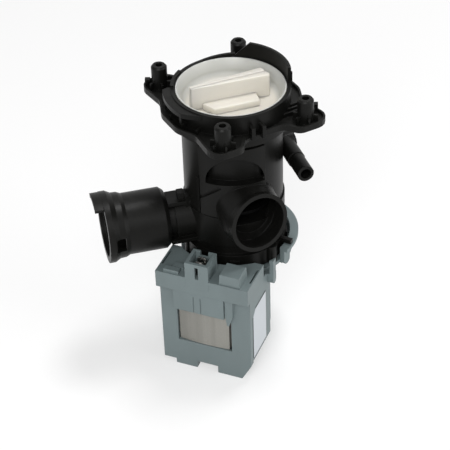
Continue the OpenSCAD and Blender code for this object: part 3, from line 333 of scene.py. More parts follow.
@dataclass(frozen=True)
class MouldedPlastic(Finish):
    """Injection-moulded plastic: flow marks, fine grain and a little dust.

    Attributes:
        roughness: gloss of the clean surface.
        grain_mm: depth of the fine grain.
        edge_mm: radius of its edges.
        mottle: strength of the colour's variation.
        dust: share of pale dust on faces that look up.
        specular: level of reflection.
        glow: share of light that passes through thin walls.
        flow: long marks of the plastic's flow.
        cloud: slow variation of the colour.
        flow_share: share of flow in the colour's variation, the rest being cloud.
        shade_ends: mixed values of both that are darkest and lightest.
        fine: fine grain.
        flow_gloss, fine_gloss: what flow and fine grain do to roughness, from end to end.
        dust_patches: where dust settles.
        dust_slope: upward share of the normal with no dust and with full dust.
        dust_colour: colour of the dust.
    """

    roughness: float = 0.42
    grain_mm: float = 0.02
    edge_mm: float = 0.35
    mottle: float = 0.12
    dust: float = 0.0
    specular: float = 0.5
    glow: float = 0.0
    flow: Pattern = Pattern(55.0, 3.0, stretch=(1.0, 1.0, 0.35))
    cloud: Pattern = Pattern(18.0, 4.0)
    flow_share: float = 0.6
    shade_ends: Pair = (0.3, 0.7)
    fine: Pattern = Pattern(2600.0, 2.0, 0.6)
    flow_gloss: float = 0.14
    fine_gloss: float = 0.08
    dust_patches: Pattern = Pattern(140.0, 5.0, 0.65, ends=(0.42, 0.7))
    dust_slope: Pair = (0.5, 1.0)
    dust_colour: Triple = (0.42, 0.41, 0.39)

    def shaded(self, web: Web, shade: Value) -> Socket:
        """Base colour, from its darkest at a shade of 0 to its lightest at 1."""
        dark, light = rgba(self.colour, 1.0 - self.mottle), rgba(self.colour, 1.0 + self.mottle)
        return web.colours(shade, dark, light)

    def sockets(self, web: Web) -> dict[str, Any]:
        """See Finish."""
        flow, cloud, fine = (web.noise(web.coords, p) for p in (self.flow, self.cloud, self.fine))
        shade = flow * self.flow_share + cloud * (1.0 - self.flow_share)
        tint = self.shaded(web, shade.faded(*self.shade_ends))
        if self.dust > 0:
            upward = web.axis(web.add("ShaderNodeNewGeometry", {}, {}).outputs["Normal"], "Z")
            patches = web.noise(web.coords, self.dust_patches)
            settled = upward.faded(*self.dust_slope) * patches * self.dust
            tint = web.colours(settled, tint, rgba(self.dust_colour))
        gloss = self.roughness + flow.swing(self.flow_gloss) + fine.swing(self.fine_gloss)
        return {
            "Base Color": tint,
            "Roughness": gloss,
            "Specular IOR Level": self.specular,
            "Subsurface Weight": self.glow,
            "Subsurface Radius": (0.004, 0.004, 0.0036),
            "Subsurface Scale": 1.0,
            "Normal": web.relief(fine, self.grain_mm, web.soft_edges(self.edge_mm)),
        }


@dataclass(frozen=True)
class CapPlastic(MouldedPlastic):
    """Plastic of the filter cap, cooler on its thin wall than on its thick floor and grip, and
    darker there with painted shade.

    Attributes:
        wall: colour of the thin wall, cooler than the floor's and darker with painted shade.
        inner_mm: radius where the wall's colour starts.
        outer_mm: radius from which it is plain.
    """

    wall: Triple = (0.55, 0.555, 0.525)
    inner_mm: float = 24.5
    outer_mm: float = 28.0

    def shaded(self, web: Web, shade: Value) -> Socket:
        """Base colour, blended from the floor's to the wall's, which holds painted shade, by the
        distance from the axis.

        Args:
            web: the nodes of the material.
            shade: 0 where the floor's colour is darkest, 1 where it is lightest.

        Returns:
            The colour socket.
        """
        thick = MouldedPlastic.shaded(self, web, shade)
        across, along = (web.axis(web.coords, name) for name in "XY")
        radius = (across * across + along * along) ** 0.5
        share = radius.faded(self.inner_mm * MM, self.outer_mm * MM)
        # The wall's colour is cooler and darker than the floor's; the darkening is painted shade on
        # the dish's wall.
        return web.colours(share, thick, rgba(self.wall))


@dataclass(frozen=True)
class LaminatedSteel(Finish):
    """Stack of punched steel sheets: thin seams across, drawn streaks along.

    Attributes:
        sheet_mm: thickness of one sheet.
        seam_gain: brightness in a seam.
        seam_ends: heights of a sheet's wave at the seam's dark and at the clear sheet.
        streak: narrow streaks.
        broad: broad streaks.
        streak_share: share of the narrow ones in the bands, the rest being broad.
        band_ends: mixed values of both that are darkest and lightest.
        band_depth: how much the bands darken and lighten the colour.
        rust: spots of rust.
        rust_share: strength of the spots.
        rust_colour: colour of the spots.
    """

    sheet_mm: float = 0.5
    seam_gain: float = 0.7
    seam_ends: Pair = (0.0, 0.35)
    streak: Pattern = Pattern(260.0, 3.0, 0.6, (1.0, 1.0, 0.03))
    broad: Pattern = Pattern(90.0, 1.0, stretch=(1.0, 1.0, 0.02))
    streak_share: float = 0.3
    band_ends: Pair = (0.36, 0.64)
    band_depth: float = 0.16
    rust: Pattern = Pattern(420.0, 4.0, 0.7, ends=(0.62, 0.78))
    rust_share: float = 0.35
    rust_colour: Triple = (0.16, 0.10, 0.06)

    def sockets(self, web: Web) -> dict[str, Any]:
        """See Finish."""
        place = web.squared()
        seam = web.axis(place, "Z").wave(self.sheet_mm * MM)
        streak, broad = web.noise(place, self.streak), web.noise(place, self.broad)
        band = broad * (1.0 - self.streak_share) + streak * self.streak_share
        dark, light = (rgba(self.colour, 1.0 + sign * self.band_depth) for sign in (-1.0, 1.0))
        tint = web.colours(band.faded(*self.band_ends), dark, light)
        rust = web.noise(place, self.rust) * self.rust_share
        tint = web.colours(rust, tint, rgba(self.rust_colour))
        tint = web.colours(seam.faded(*self.seam_ends), rgba(self.colour, self.seam_gain), tint)
        return {
            "Base Color": tint,
            "Metallic": 0.25,
            "Roughness": 0.46 + streak * 0.2,
            "Normal": web.relief(seam, depth_mm=0.05, normal=web.soft_edges(radius_mm=0.15)),
        }


@dataclass(frozen=True)
class BrightMetal(Finish):
    """Plain or tinned metal with fine turning or drawing marks.

    Attributes:
        roughness: gloss of the clean surface.
        crowding: how much closer the marks lie along Z than across.
        metallic: share of metal.
        marks: the marks, before they are crowded.
        stain: patches of tarnish.
        stain_share: strength of the patches.
        stain_gain: brightness of full tarnish.
    """

    roughness: float = 0.3
    crowding: float = 12.0
    metallic: float = 1.0
    marks: Pattern = Pattern(900.0, 3.0, 0.65)
    stain: Pattern = Pattern(160.0, 3.0, ends=(0.5, 0.75))
    stain_share: float = 0.3
    stain_gain: float = 0.6

    def sockets(self, web: Web) -> dict[str, Any]:
        """See Finish."""
        marks = web.noise(web.coords, replace(self.marks, stretch=(1.0, 1.0, self.crowding)))
        stain = web.noise(web.coords, self.stain) * self.stain_share
        tarnish = rgba(self.colour, self.stain_gain)
        return {
            "Base Color": web.colours(stain, rgba(self.colour), tarnish),
            "Metallic": self.metallic,
            "Roughness": self.roughness + marks.swing(0.2),
            "Normal": web.relief(marks, depth_mm=0.012, normal=web.soft_edges(radius_mm=0.12)),
        }


@dataclass(frozen=True)
class SoftRubber(Finish):
    """Moulded rubber with bloom.

    Attributes:
        grain: fine grain.
        bloom: patches of bloom.
        bloom_share: strength of the patches.
        bloom_gain: brightness of full bloom.
    """

    grain: Pattern = Pattern(1800.0, 3.0, 0.6)
    bloom: Pattern = Pattern(220.0, 4.0, ends=(0.5, 0.8))
    bloom_share: float = 0.35
    bloom_gain: float = 4.0

    def sockets(self, web: Web) -> dict[str, Any]:
        """See Finish."""
        grain = web.noise(web.coords, self.grain)
        bloom = web.noise(web.coords, self.bloom) * self.bloom_share
        pale = rgba(self.colour, self.bloom_gain)
        return {
            "Base Color": web.colours(bloom, rgba(self.colour), pale),
            "Roughness": 0.6 + bloom * 0.4,
            "Normal": web.relief(grain, depth_mm=0.02, normal=web.soft_edges(radius_mm=0.2)),
        }


@dataclass(frozen=True)
class WoundWire(Finish):
    """Enamelled copper wire wound in close turns, with painted shade in the grooves between them.

    Attributes:
        wire_mm: thickness of the wire.
        wander: how the turns stray.
        wander_mm: how far they stray.
        groove: colour between two turns, darker than the wire as painted shade.
        groove_ends: heights of a turn's wave that are all painted groove shade and all wire.
    """

    wire_mm: float = 0.45
    wander: Pattern = Pattern(90.0)
    wander_mm: float = 0.4
    groove: Triple = (0.10, 0.022, 0.008)
    groove_ends: Pair = (0.1, 0.7)

    def sockets(self, web: Web) -> dict[str, Any]:
        """See Finish."""
        place = web.squared()
        stray = web.noise(place, self.wander) * (self.wander_mm * MM)
        turns = (web.axis(place, "Y") + stray).wave(self.wire_mm * MM)
        share = turns.faded(*self.groove_ends)
        return {
            # Between turns the colour is painted shade: dark copper where the crease between wires
            # falls into shadow.
            "Base Color": web.colours(share, rgba(self.groove), rgba(self.colour)),
            "Metallic": 0.65,
            "Roughness": 0.28 + (1.0 - turns) * 0.2,
            "Coat Weight": 0.4,
            "Normal": web.relief(turns, depth_mm=0.16),
        }


@dataclass(frozen=True)
class PrintedFilm(Finish):
    """Blank label film with a faint ripple, and a thin dark line painted round its edge as shade in
    the gap there.

    Attributes:
        border_mm: width of the painted shade line round the edge.
        border_fade: share of that width that stays dark before it fades.
        border: colour of the painted shade at the edge.
        ripple: slow waves of the film.
        scuff: worn patches.
        scuff_share: strength of the patches.
        scuff_gain: brightness of a full scuff.
    """

    border_mm: float = 0.55
    border_fade: float = 0.7
    border: Triple = (0.035, 0.038, 0.042)
    ripple: Pattern = Pattern(70.0)
    scuff: Pattern = Pattern(500.0, 4.0, 0.7, (1.0, 1.0, 5.0), (0.62, 0.8))
    scuff_share: float = 0.25
    scuff_gain: float = 0.72

    def inside(self, place: Num, ends: Pair) -> Num:
        """Zero in the painted shade line at the edge and one inside it, along one direction.

        Args:
            place: the coordinate along the direction.
            ends: the label's two edges, in millimetres.

        Returns:
            The wrapped share.
        """
        middle, half = (ends[0] + ends[1]) / 2, (ends[1] - ends[0]) / 2
        clear, dark = half - self.border_mm, half - self.border_fade * self.border_mm
        return 1.0 - abs(place - middle * MM).faded(clear * MM, dark * MM)

    def sockets(self, web: Web) -> dict[str, Any]:
        """See Finish."""
        ripple, scuff = web.noise(web.coords, self.ripple), web.noise(web.coords, self.scuff)
        worn = rgba(self.colour, self.scuff_gain)
        tint = web.colours(scuff * self.scuff_share, rgba(self.colour), worn)
        square = web.squared()
        inner = self.inside(web.axis(square, "Y"), LABEL_SPAN_MM)
        inner = inner * self.inside(web.axis(square, "Z"), LABEL_RISE_MM)
        return {
            # The film's edge is painted near black as the shade in the gap round the label.
            "Base Color": web.colours(inner, rgba(self.border), tint),
            "Roughness": 0.34 + scuff * 0.2,
            "Normal": web.relief(ripple, depth_mm=0.12),
        }


@dataclass(frozen=True)
class Finishes:
    """Every finish of the pump."""

    black: MouldedPlastic = MouldedPlastic(
        "black_housing",
        (0.0052, 0.0052, 0.0046),
        roughness=0.38,
        grain_mm=0.018,
        edge_mm=0.4,
        mottle=0.16,
        dust=0.01,
        specular=0.13,
    )
    grey: MouldedPlastic = MouldedPlastic(
        "grey_frame", (0.155, 0.193, 0.197), roughness=0.5, mottle=0.06, specular=0.35
    )
    cap: CapPlastic = CapPlastic(
        "cap_white", (0.66, 0.63, 0.565), grain_mm=0.012, edge_mm=0.4, mottle=0.03, glow=0.6
    )
    # Near black as painted shade: the comb stands in for the shade deep inside the inlet bore.
    comb: MouldedPlastic = MouldedPlastic(
        "comb_painted_shade", (0.004, 0.004, 0.004), roughness=0.5, edge_mm=0.25, mottle=0.1, specular=0.08
    )
    former: MouldedPlastic = MouldedPlastic(
        "bobbin_cream", (0.50, 0.47, 0.40), roughness=0.5, edge_mm=0.2, mottle=0.06
    )
    wheel: MouldedPlastic = MouldedPlastic(
        "impeller_black", (0.02, 0.02, 0.022), roughness=0.45, edge_mm=0.3
    )
    drive: MouldedPlastic = MouldedPlastic(
        "drive_natural", (0.62, 0.61, 0.56), 0.4, grain_mm=0.01, edge_mm=0.2, mottle=0.05
    )
    bush: MouldedPlastic = MouldedPlastic(
        "bush_carbon", (0.03, 0.028, 0.027), 0.35, grain_mm=0.008, edge_mm=0.15, mottle=0.15
    )
    rubber: SoftRubber = SoftRubber("seal_rubber", (0.012, 0.012, 0.012))
    core: LaminatedSteel = LaminatedSteel("core_sheets", (0.275, 0.27, 0.245))
    shaft: BrightMetal = BrightMetal("shaft_steel", (0.56, 0.55, 0.53), roughness=0.22)
    tinned: BrightMetal = BrightMetal(
        "tinned_brass", (0.45, 0.44, 0.42), roughness=0.28, crowding=8.0
    )
    bronze: BrightMetal = BrightMetal("washer_bronze", (0.55, 0.36, 0.14), crowding=1.0)
    ferrite: BrightMetal = BrightMetal(
        "ferrite", (0.05, 0.05, 0.055), roughness=0.5, crowding=1.0, metallic=0.35
    )
    wire: WoundWire = WoundWire("coil_wire", (0.52, 0.17, 0.06))
    film: PrintedFilm = PrintedFilm("label_film", (0.50, 0.535, 0.57))

    def by_node(self) -> dict[str, Finish]:
        """Which finish each solid has.

        Returns:
            The finish of each node, by the node's name.
        """
        groups = (
            (self.black, ("filter_mouth", "filter_tube", "volute_housing", "outlet_sleeve")),
            (self.cap, ("filter_cap",)),
            (self.comb, ("filter_basket",)),
            (self.grey, ("motor_flange", "motor_frame", "motor_cover")),
            (self.core, ("stator_core",)),
            (self.former, ("bobbin_left", "bobbin_right")),
            (self.wire, ("winding_left", "winding_right", "coil_link")),
            (self.tinned, ("terminal_front", "terminal_rear")),
            (self.film, ("rating_label",)),
            (self.rubber, ("cap_seal", "check_flap", "volute_gasket", "shaft_seal")),
            (self.rubber, ("front_grommet", "rear_grommet")),
            (self.shaft, ("flap_pin", "rotor_shaft")),
            (self.wheel, ("impeller",)),
            (self.drive, ("impeller_drive", "magnet_sleeve")),
            (self.ferrite, ("rotor_magnet",)),
            (self.bush, ("front_bearing", "rear_bearing")),
            (self.bronze, ("thrust_washers",)),
        )
        return {node: finish for finish, nodes in groups for node in nodes}


class Bench:
    """Modelling moves, made with the same operators as by hand."""

    @staticmethod
    def clear() -> None:
        """Leaves edit mode and deselects everything."""
        if bpy.context.object is not None and bpy.context.object.mode != "OBJECT":
            bpy.ops.object.mode_set(mode="OBJECT")
        bpy.ops.object.select_all(action="DESELECT")

    @staticmethod
    def take(piece: Piece) -> None:
        """Makes one object the only selected and active one.

        Args:
            piece: the object.
        """
        Bench.clear()
        piece.select_set(True)
        bpy.context.view_layer.objects.active = piece

    @staticmethod
    def settle(name: str) -> Piece:
        """Names the active piece and puts its place, turn and size in its mesh.

        Args:
            name: name of the piece.

        Returns:
            The piece.
        """
        piece = bpy.context.object
        piece.name = name
        bpy.ops.object.transform_apply(location=True, rotation=True, scale=True)
        return piece

    @staticmethod
    def disc(name: str, corners: int, radius: float, level: float) -> Piece:
        """Adds a filled disc and opens it in edit mode, selected all over.

        Args:
            name: name of the piece.
            corners: number of its corners.
            radius: its radius, in millimetres.
            level: its level, in millimetres.

        Returns:
            The piece.
        """
        Bench.clear()
        bpy.ops.mesh.primitive_circle_add(
            vertices=corners, radius=radius * MM, fill_type="NGON", location=(0.0, 0.0, level * MM)
        )
        piece = Bench.settle(name)
        bpy.ops.object.mode_set(mode="EDIT")
        bpy.ops.mesh.select_all(action="SELECT")
        return piece

    @staticmethod
    def pull(rise: float) -> None:
        """Extrudes what is selected along Z, by a rise in millimetres."""
        bpy.ops.mesh.extrude_region_move(TRANSFORM_OT_translate={"value": (0.0, 0.0, rise * MM)})

    @staticmethod
    def seal() -> None:
        """Turns all faces outwards and leaves edit mode."""
        bpy.ops.mesh.select_all(action="SELECT")
        bpy.ops.mesh.normals_make_consistent(inside=False)
        bpy.ops.object.mode_set(mode="OBJECT")

    @staticmethod
    def lathe(name: str, profile: Sequence[Pair], corners: int) -> Piece:
        """Grows a round body from a disc, ring by ring.

        Args:
            name: name of the piece.
            profile: radius and level of each ring, in millimetres, from end to end.
            corners: number of corners of each ring.

        Returns:
            The piece.
        """
        radius, level = profile[0]
        piece = Bench.disc(name, corners, radius, level)
        for wide, high in profile[1:]:
            Bench.pull(high - level)
            bpy.ops.transform.resize(value=(wide / radius, wide / radius, 1.0))
            radius, level = wide, high
        Bench.seal()
        return piece

    @staticmethod
    def prism(name: str, outline: Sequence[Pair], low: float, high: float) -> Piece:
        """Shapes a disc to an outline and extrudes it.

        Args:
            name: name of the piece.
            outline: its corners, in millimetres.
            low: lower level, in millimetres.
            high: upper level, in millimetres.

        Returns:
            The piece.
        """
        piece = Bench.disc(name, len(outline), 1.0, low)
        mesh = bmesh.from_edit_mesh(piece.data)
        for corner, (x, y) in zip(mesh.verts, outline):
            corner.co.x, corner.co.y = x * MM, y * MM
        bmesh.update_edit_mesh(piece.data)
        Bench.pull(high - low)
        Bench.seal()
        return piece

    @staticmethod
    def pick(piece: Piece, kind: Part, test: Callable[[Any], bool]) -> None:
        """Selects parts of a mesh in edit mode.

        Args:
            piece: the object in edit mode.
            kind: which kind of part.
            test: says which are selected.
        """
        bpy.ops.mesh.select_all(action="DESELECT")
        bpy.ops.mesh.select_mode(type=kind.value)
        mesh = bmesh.from_edit_mesh(piece.data)
        for part in getattr(mesh, kind.name.lower()):
            part.select_set(test(part))
        mesh.select_flush_mode()
        bmesh.update_edit_mesh(piece.data)

    @staticmethod
    def modify(piece: Piece, kind: str, **settings: Any) -> None:
        """Adds a modifier and applies it.

        Args:
            piece: the object.
            kind: the modifier's type.
            settings: its properties.
        """
        Bench.take(piece)
        modifier = piece.modifiers.new(kind.lower(), kind)
        for key, value in settings.items():
            setattr(modifier, key, value)
        bpy.ops.object.modifier_apply(modifier=modifier.name)

    @staticmethod
    def ease(piece: Piece, width: float, segments: int = 3, angle: float = 28.0) -> None:
        """Rounds the edges of a piece that are sharper than an angle.

        Args:
            piece: the piece.
            width: width of the rounding, in millimetres.
            segments: number of its facets.
            angle: the angle.
        """
        limit = {"limit_method": "ANGLE", "angle_limit": math.radians(angle)}
        Bench.modify(piece, "BEVEL", width=width * MM, segments=segments, **limit)

    @staticmethod
    def drill(piece: Piece, tool: Piece) -> None:
        """Cuts the shape of a tool out of a piece and removes the tool."""
        Bench.modify(piece, "BOOLEAN", object=tool, operation="DIFFERENCE", solver="EXACT")
        bpy.data.objects.remove(tool, do_unlink=True)

    @staticmethod
    def lay(piece: Piece, angles: Triple, place: Triple = (0.0, 0.0, 0.0)) -> None:
        """Turns and moves a piece, and puts both in its mesh.

        Args:
            piece: the piece, at the origin.
            angles: turns about X, Y and Z.
            place: where its origin goes, in millimetres.
        """
        Bench.take(piece)
        piece.rotation_euler = [math.radians(angle) for angle in angles]
        piece.location = [value * MM for value in place]
        Bench.settle(piece.name)

    @staticmethod
    def turn(piece: Piece, degrees: float) -> None:
        """Turns a piece about the Z axis and puts the turn in its mesh."""
        Bench.lay(piece, (0.0, 0.0, degrees))

    @staticmethod
    def copy(piece: Piece, degrees: float) -> Piece:
        """Copies a piece with a mesh of its own and turns the copy about Z.

        Args:
            piece: the piece.
            degrees: the turn.

        Returns:
            The copy.
        """
        twin = piece.copy()
        twin.data = piece.data.copy()
        bpy.context.scene.collection.objects.link(twin)
        Bench.turn(twin, degrees)
        return twin

    @staticmethod
    def join(name: str, pieces: Sequence[Piece]) -> Piece:
        """Joins pieces into the first one.

        Args:
            name: name of the result.
            pieces: the pieces.

        Returns:
            The joined piece.
        """
        Bench.take(pieces[0])
        for piece in pieces:
            piece.select_set(True)
        bpy.ops.object.join()
        return Bench.settle(name)

    @staticmethod
    def smooth(piece: Piece, degrees: float = 35.0) -> None:
        """Shades a piece smooth except at edges sharper than an angle."""
        Bench.take(piece)
        bpy.ops.object.shade_smooth_by_angle(angle=math.radians(degrees))

    @staticmethod
    def dress(piece: Piece, material: Material) -> None:
        """Gives a piece its material."""
        piece.data.materials.clear()
        piece.data.materials.append(material)


@dataclass
class Winding:
    """One coil, wound in close turns round its bobbin.

    Attributes:
        side: which leg of the core it sits on.
        near_mm, far_mm: distance of its inner and outer face from the middle of the motor.
        front_mm, back_mm: its front and rear end.
        half_mm, middle_mm: half of its height, and the level of its middle.
        depth_mm, side_mm: thickness of the wound layer above and below the leg, and beside it.
        round_mm: width of its rounded edges.
    """

    side: Side
    near_mm: float = 2.1
    far_mm: float = 24.9
    front_mm: float = -37.0
    back_mm: float = -20.4
    half_mm: float = 18.95
    middle_mm: float = -145.0
    depth_mm: float = 3.85
    side_mm: float = 5.95
    round_mm: float = 2.2

    def build(self) -> Piece:
        """Makes the coil from a prism, hollowed through and rounded.

        Returns:
            The coil.
        """
        left, right = sorted((self.side.value * self.near_mm, self.side.value * self.far_mm))
        front, back = self.front_mm, self.back_mm
        outline = [(left, front), (right, front), (right, back), (left, back)]
        low, high = self.middle_mm - self.half_mm, self.middle_mm + self.half_mm
        piece = Bench.prism(f"coil_{self.side.name.lower()}", outline, low, high)
        bpy.ops.object.mode_set(mode="EDIT")
        Bench.pick(piece, Part.FACES, lambda face: round(abs(face.normal.y)) == 1)
        bpy.ops.mesh.inset(thickness=self.depth_mm * MM, use_individual=True)
        wide = self.far_mm - self.near_mm
        share = (wide - 2.0 * self.side_mm) / (wide - 2.0 * self.depth_mm)
        bpy.ops.transform.resize(value=(share, 1.0, 1.0))
        bpy.ops.mesh.bridge_edge_loops()
        bpy.ops.object.mode_set(mode="OBJECT")
        Bench.ease(piece, self.round_mm, segments=4, angle=60.0)
        Bench.turn(piece, MOTOR_TURN)
        Bench.smooth(piece, degrees=50.0)
        return piece


@dataclass
class Terminal:
    """Flat tinned tab in the connector, chamfered at its end and pierced.

    Attributes:
        name: name of the piece.
        depth_mm, middle_mm: its middle from front to back, and across the connector.
        width_mm, thickness_mm: its width and thickness.
        low_mm, top_mm: its lower and upper end.
        chamfer_mm: size of the chamfer at its upper corners.
        hole_mm, hole_down_mm: radius of its hole, and distance of the hole from the upper end.
        edge_mm: width of its rounded edges.
    """

    name: str
    depth_mm: float
    middle_mm: float = -2.6
    width_mm: float = 6.3
    thickness_mm: float = 0.8
    low_mm: float = -122.1
    top_mm: float = -95.0
    chamfer_mm: float = 1.2
    hole_mm: float = 0.8
    hole_down_mm: float = 3.6
    edge_mm: float = 0.12

    def build(self) -> Piece:
        """Makes the tab on its back, pierces it and stands it up.

        Returns:
            The tab.
        """
        half, cut, thick = self.width_mm / 2, self.chamfer_mm, self.thickness_mm
        outline = [
            (-half, self.low_mm),
            (half, self.low_mm),
            (half, self.top_mm - cut),
            (half - cut, self.top_mm),
            (-half + cut, self.top_mm),
            (-half, self.top_mm - cut),
        ]
        piece = Bench.prism(self.name, outline, -thick / 2, thick / 2)
        bpy.ops.mesh.primitive_cylinder_add(
            vertices=32,
            radius=self.hole_mm * MM,
            depth=5.0 * thick * MM,
            location=(0.0, (self.top_mm - self.hole_down_mm) * MM, 0.0),
        )
        Bench.drill(piece, bpy.context.object)
        Bench.ease(piece, self.edge_mm, segments=2)
        Bench.lay(piece, (90.0, 0.0, 0.0), (self.middle_mm, self.depth_mm, 0.0))
        Bench.turn(piece, MOTOR_TURN)
        Bench.smooth(piece)
        return piece


@dataclass
class Label:
    """Blank film on the motor's side, with round corners and one cut corner.

    Attributes:
        side_mm: distance of the motor's side from its middle.
        cut_mm: size of the cut corner.
        round_mm: radius of its corners.
        film_mm: thickness of the film.
    """

    side_mm: float = 28.9
    cut_mm: float = 5.0
    round_mm: float = 0.9
    film_mm: float = 0.25

    def build(self) -> Piece:
        """Makes the film flat, rounds its corners and stands it against the side.

        Returns:
            The film.
        """
        (front, back), (low, top), cut = LABEL_SPAN_MM, LABEL_RISE_MM, self.cut_mm
        outline = [(front, low), (back, low), (back, top), (front + cut, top), (front, top - cut)]
        piece = Bench.prism("blank_label", outline, 0.0, self.film_mm)
        bpy.ops.object.mode_set(mode="EDIT")
        Bench.pick(piece, Part.EDGES, lambda edge: edge.verts[0].co.xy == edge.verts[1].co.xy)
        bpy.ops.mesh.bevel(offset=self.round_mm * MM, segments=5)
        bpy.ops.object.mode_set(mode="OBJECT")
        Bench.lay(piece, (90.0, 0.0, 90.0), (self.side_mm, 0.0, 0.0))
        Bench.turn(piece, MOTOR_TURN)
        Bench.smooth(piece)
        return piece


@dataclass
class Motor:
    """The motor's pieces that are finer than its solids.

    Attributes:
        finishes: the finishes of the pump.
        tabs: place of each terminal and its middle from front to back, in millimetres.
        made: the pieces made so far.
    """

    finishes: Finishes
    tabs: tuple[tuple[str, float], ...] = (("front", -50.4), ("rear", -45.8))
    made: list[Piece] = field(default_factory=list)

    def add(self, piece: Piece, material: Material, node: str) -> None:
        """Dresses a piece, puts it on the housing and lets it stand for a solid.

        Args:
            piece: the piece.
            material: its material.
            node: the solid's node.
        """
        Bench.dress(piece, material)
        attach(piece, "housing")
        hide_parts(node)
        self.made.append(piece)

    def build(self) -> list[Piece]:
        """Makes the coils, the two terminals and the label.

        Returns:
            The pieces.
        """
        wire = self.finishes.wire.build()
        for side in Side:
            self.add(Winding(side).build(), wire, f"winding_{side.name.lower()}")
        tinned = self.finishes.tinned.build()
        for name, depth in self.tabs:
            self.add(Terminal(f"tab_{name}", depth).build(), tinned, f"terminal_{name}")
        self.add(Label().build(), self.finishes.film.build(), "rating_label")
        return self.made


@dataclass(frozen=True)
class Bar:
    """One bar of the cap's grip.

    Attributes:
        name: name of the bar.
        outline: its corners from above, in millimetres.
        top_mm: level of its top.
        edge_mm: width of its rounded edges.
    """

    name: str
    outline: Outline
    top_mm: float
    edge_mm: float


@dataclass
class Cap:
    """Screw-in filter cap: a dished round body with a grip across it.

    Attributes:
        finishes: the finishes of the pump.
        plug: radius and level of each ring of the plug, from its middle outwards.
        groove: the same for the seal's groove.
        skirt: the same from the groove to the underside of the rim.
        rim_mm, top_mm: radius and level of the rim.
        lip_up, lip_in: how far the outer and inner rings of the rim are from these.
        floor_mm, floor_r_mm: level of the dish's floor, and radius of its flat part.
        fillet_mm, fillet_steps: radius between floor and wall, and its number of steps.
        bars: the ridge of the grip, the block beside it and the step in front.
        sunk_mm: how far the bars go down into the floor.
        lug_r_mm, lug_z_mm: inner and outer radius of a screw lug, its lower and upper level.
        lug_half, lug_steps: half of the angle that a lug takes up, and its number of steps.
        lug_edge_mm: width of a lug's rounded edges.
    """

    finishes: Finishes
    plug: Outline = ((22.6, -16.0), (22.6, -31.0), (26.8, -31.0), (27.1, -30.7), (27.1, -29.0))
    groove: Outline = ((24.7, -29.0), (24.7, -26.0), (27.1, -26.0))
    skirt: Outline = ((27.1, -21.0), (30.1, -21.0), (30.4, -20.7), (30.4, -7.5))
    rim_mm: float = 31.95
    top_mm: float = -3.0
    lip_up: Outline = ((0.0, -3.5), (0.0, -0.3), (-0.09, -0.09), (-0.3, 0.0))
    lip_in: Outline = ((-0.42, 0.0), (-0.62, -0.08), (-0.75, -0.25))
    floor_mm: float = -13.5
    floor_r_mm: float = 23.4
    fillet_mm: float = 5.0
    fillet_steps: int = 12
    bars: tuple[Bar, ...] = (
        Bar("cap_ridge", ((-24.75, 5.1), (-23.95, 3.6), (21.25, -1.9), (20.95, 2.0)), 1.5, 0.35),
        Bar(
            "cap_block",
            ((-24.25, 4.2), (-23.85, 3.0), (21.45, -6.4), (22.65, -5.6), (22.75, -4.0), (21.05, 0)),
            0.7,
            0.5,
        ),
        Bar("cap_step", ((-18.25, 1.0), (-15.25, -8.0), (11.65, -13.0), (14.25, -3.0)), -9.5, 0.6),
    )
    sunk_mm: float = 1.0
    lug_r_mm: Pair = (29.4, 31.9)
    lug_z_mm: Pair = (-18.5, -16.0)
    lug_half: float = 12.0
    lug_steps: int = 8
    lug_edge_mm: float = 0.25

    def body(self) -> Piece:
        """Turns the plug, the skirt, the rim and the dish.

        Returns:
            The body.
        """
        lip = [(self.rim_mm + out, self.top_mm + up) for out, up in self.lip_up + self.lip_in]
        turns = [90.0 - 90.0 / self.fillet_steps * step for step in range(self.fillet_steps + 1)]
        bowl = [
            (
                self.floor_r_mm + self.fillet_mm * math.sin(angle),
                self.floor_mm + self.fillet_mm * (1.0 - math.cos(angle)),
            )
            for angle in map(math.radians, turns)
        ]
        rings = [*self.plug, *self.groove, *self.skirt, *lip, *bowl]
        return Bench.lathe("cap_body", rings, corners=160)

    def grip(self) -> list[Piece]:
        """Makes the bars of the grip.

        Returns:
            The bars.
        """
        made = []
        for bar in self.bars:
            piece = Bench.prism(bar.name, bar.outline, self.floor_mm - self.sunk_mm, bar.top_mm)
            Bench.ease(piece, bar.edge_mm)
            made.append(piece)
        return made

    def lugs(self) -> list[Piece]:
        """Makes one screw lug on the skirt and copies it to the other side.

        Returns:
            Both lugs.
        """
        pitch = 2.0 * self.lug_half / self.lug_steps
        turns = [-self.lug_half + pitch * step for step in range(self.lug_steps + 1)]
        corners = [(math.cos(angle), math.sin(angle)) for angle in map(math.radians, turns)]
        inner, outer = self.lug_r_mm
        outline = [(outer * x, outer * y) for x, y in corners]
        outline += [(inner * x, inner * y) for x, y in reversed(corners)]
        lug = Bench.prism("cap_lug", outline, *self.lug_z_mm)
        Bench.ease(lug, self.lug_edge_mm, segments=2)
        return [lug, Bench.copy(lug, 180.0)]

    def build(self) -> Piece:
        """Makes the cap as one piece on the filter.

        Returns:
            The cap.
        """
        piece = Bench.join("filter_cap_shell", [self.body(), *self.grip(), *self.lugs()])
        Bench.smooth(piece, degrees=32.0)
        Bench.dress(piece, self.finishes.cap.build())
        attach(piece, "filter")
        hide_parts("filter_cap")
        return piece


@dataclass(frozen=True)
class Lamp:
    """One soft square lamp.

    Attributes:
        name: name of the lamp.
        place: its place.
        power: its power in watts.
        size: length of its side.
    """

    name: str
    place: Triple
    power: float
    size: float

    def build(self, aim: Triple) -> None:
        """Adds the lamp, facing a point.

        Args:
            aim: the point.
        """
        data = bpy.data.lights.new(self.name, "AREA")
        data.energy = self.power
        data.size = self.size
        lamp = bpy.data.objects.new(self.name, data)
        turn = (Vector(aim) - Vector(self.place)).to_track_quat("-Z", "Y")
        lamp.matrix_world = Matrix.Translation(self.place) @ turn.to_matrix().to_4x4()
        bpy.context.scene.collection.objects.link(lamp)


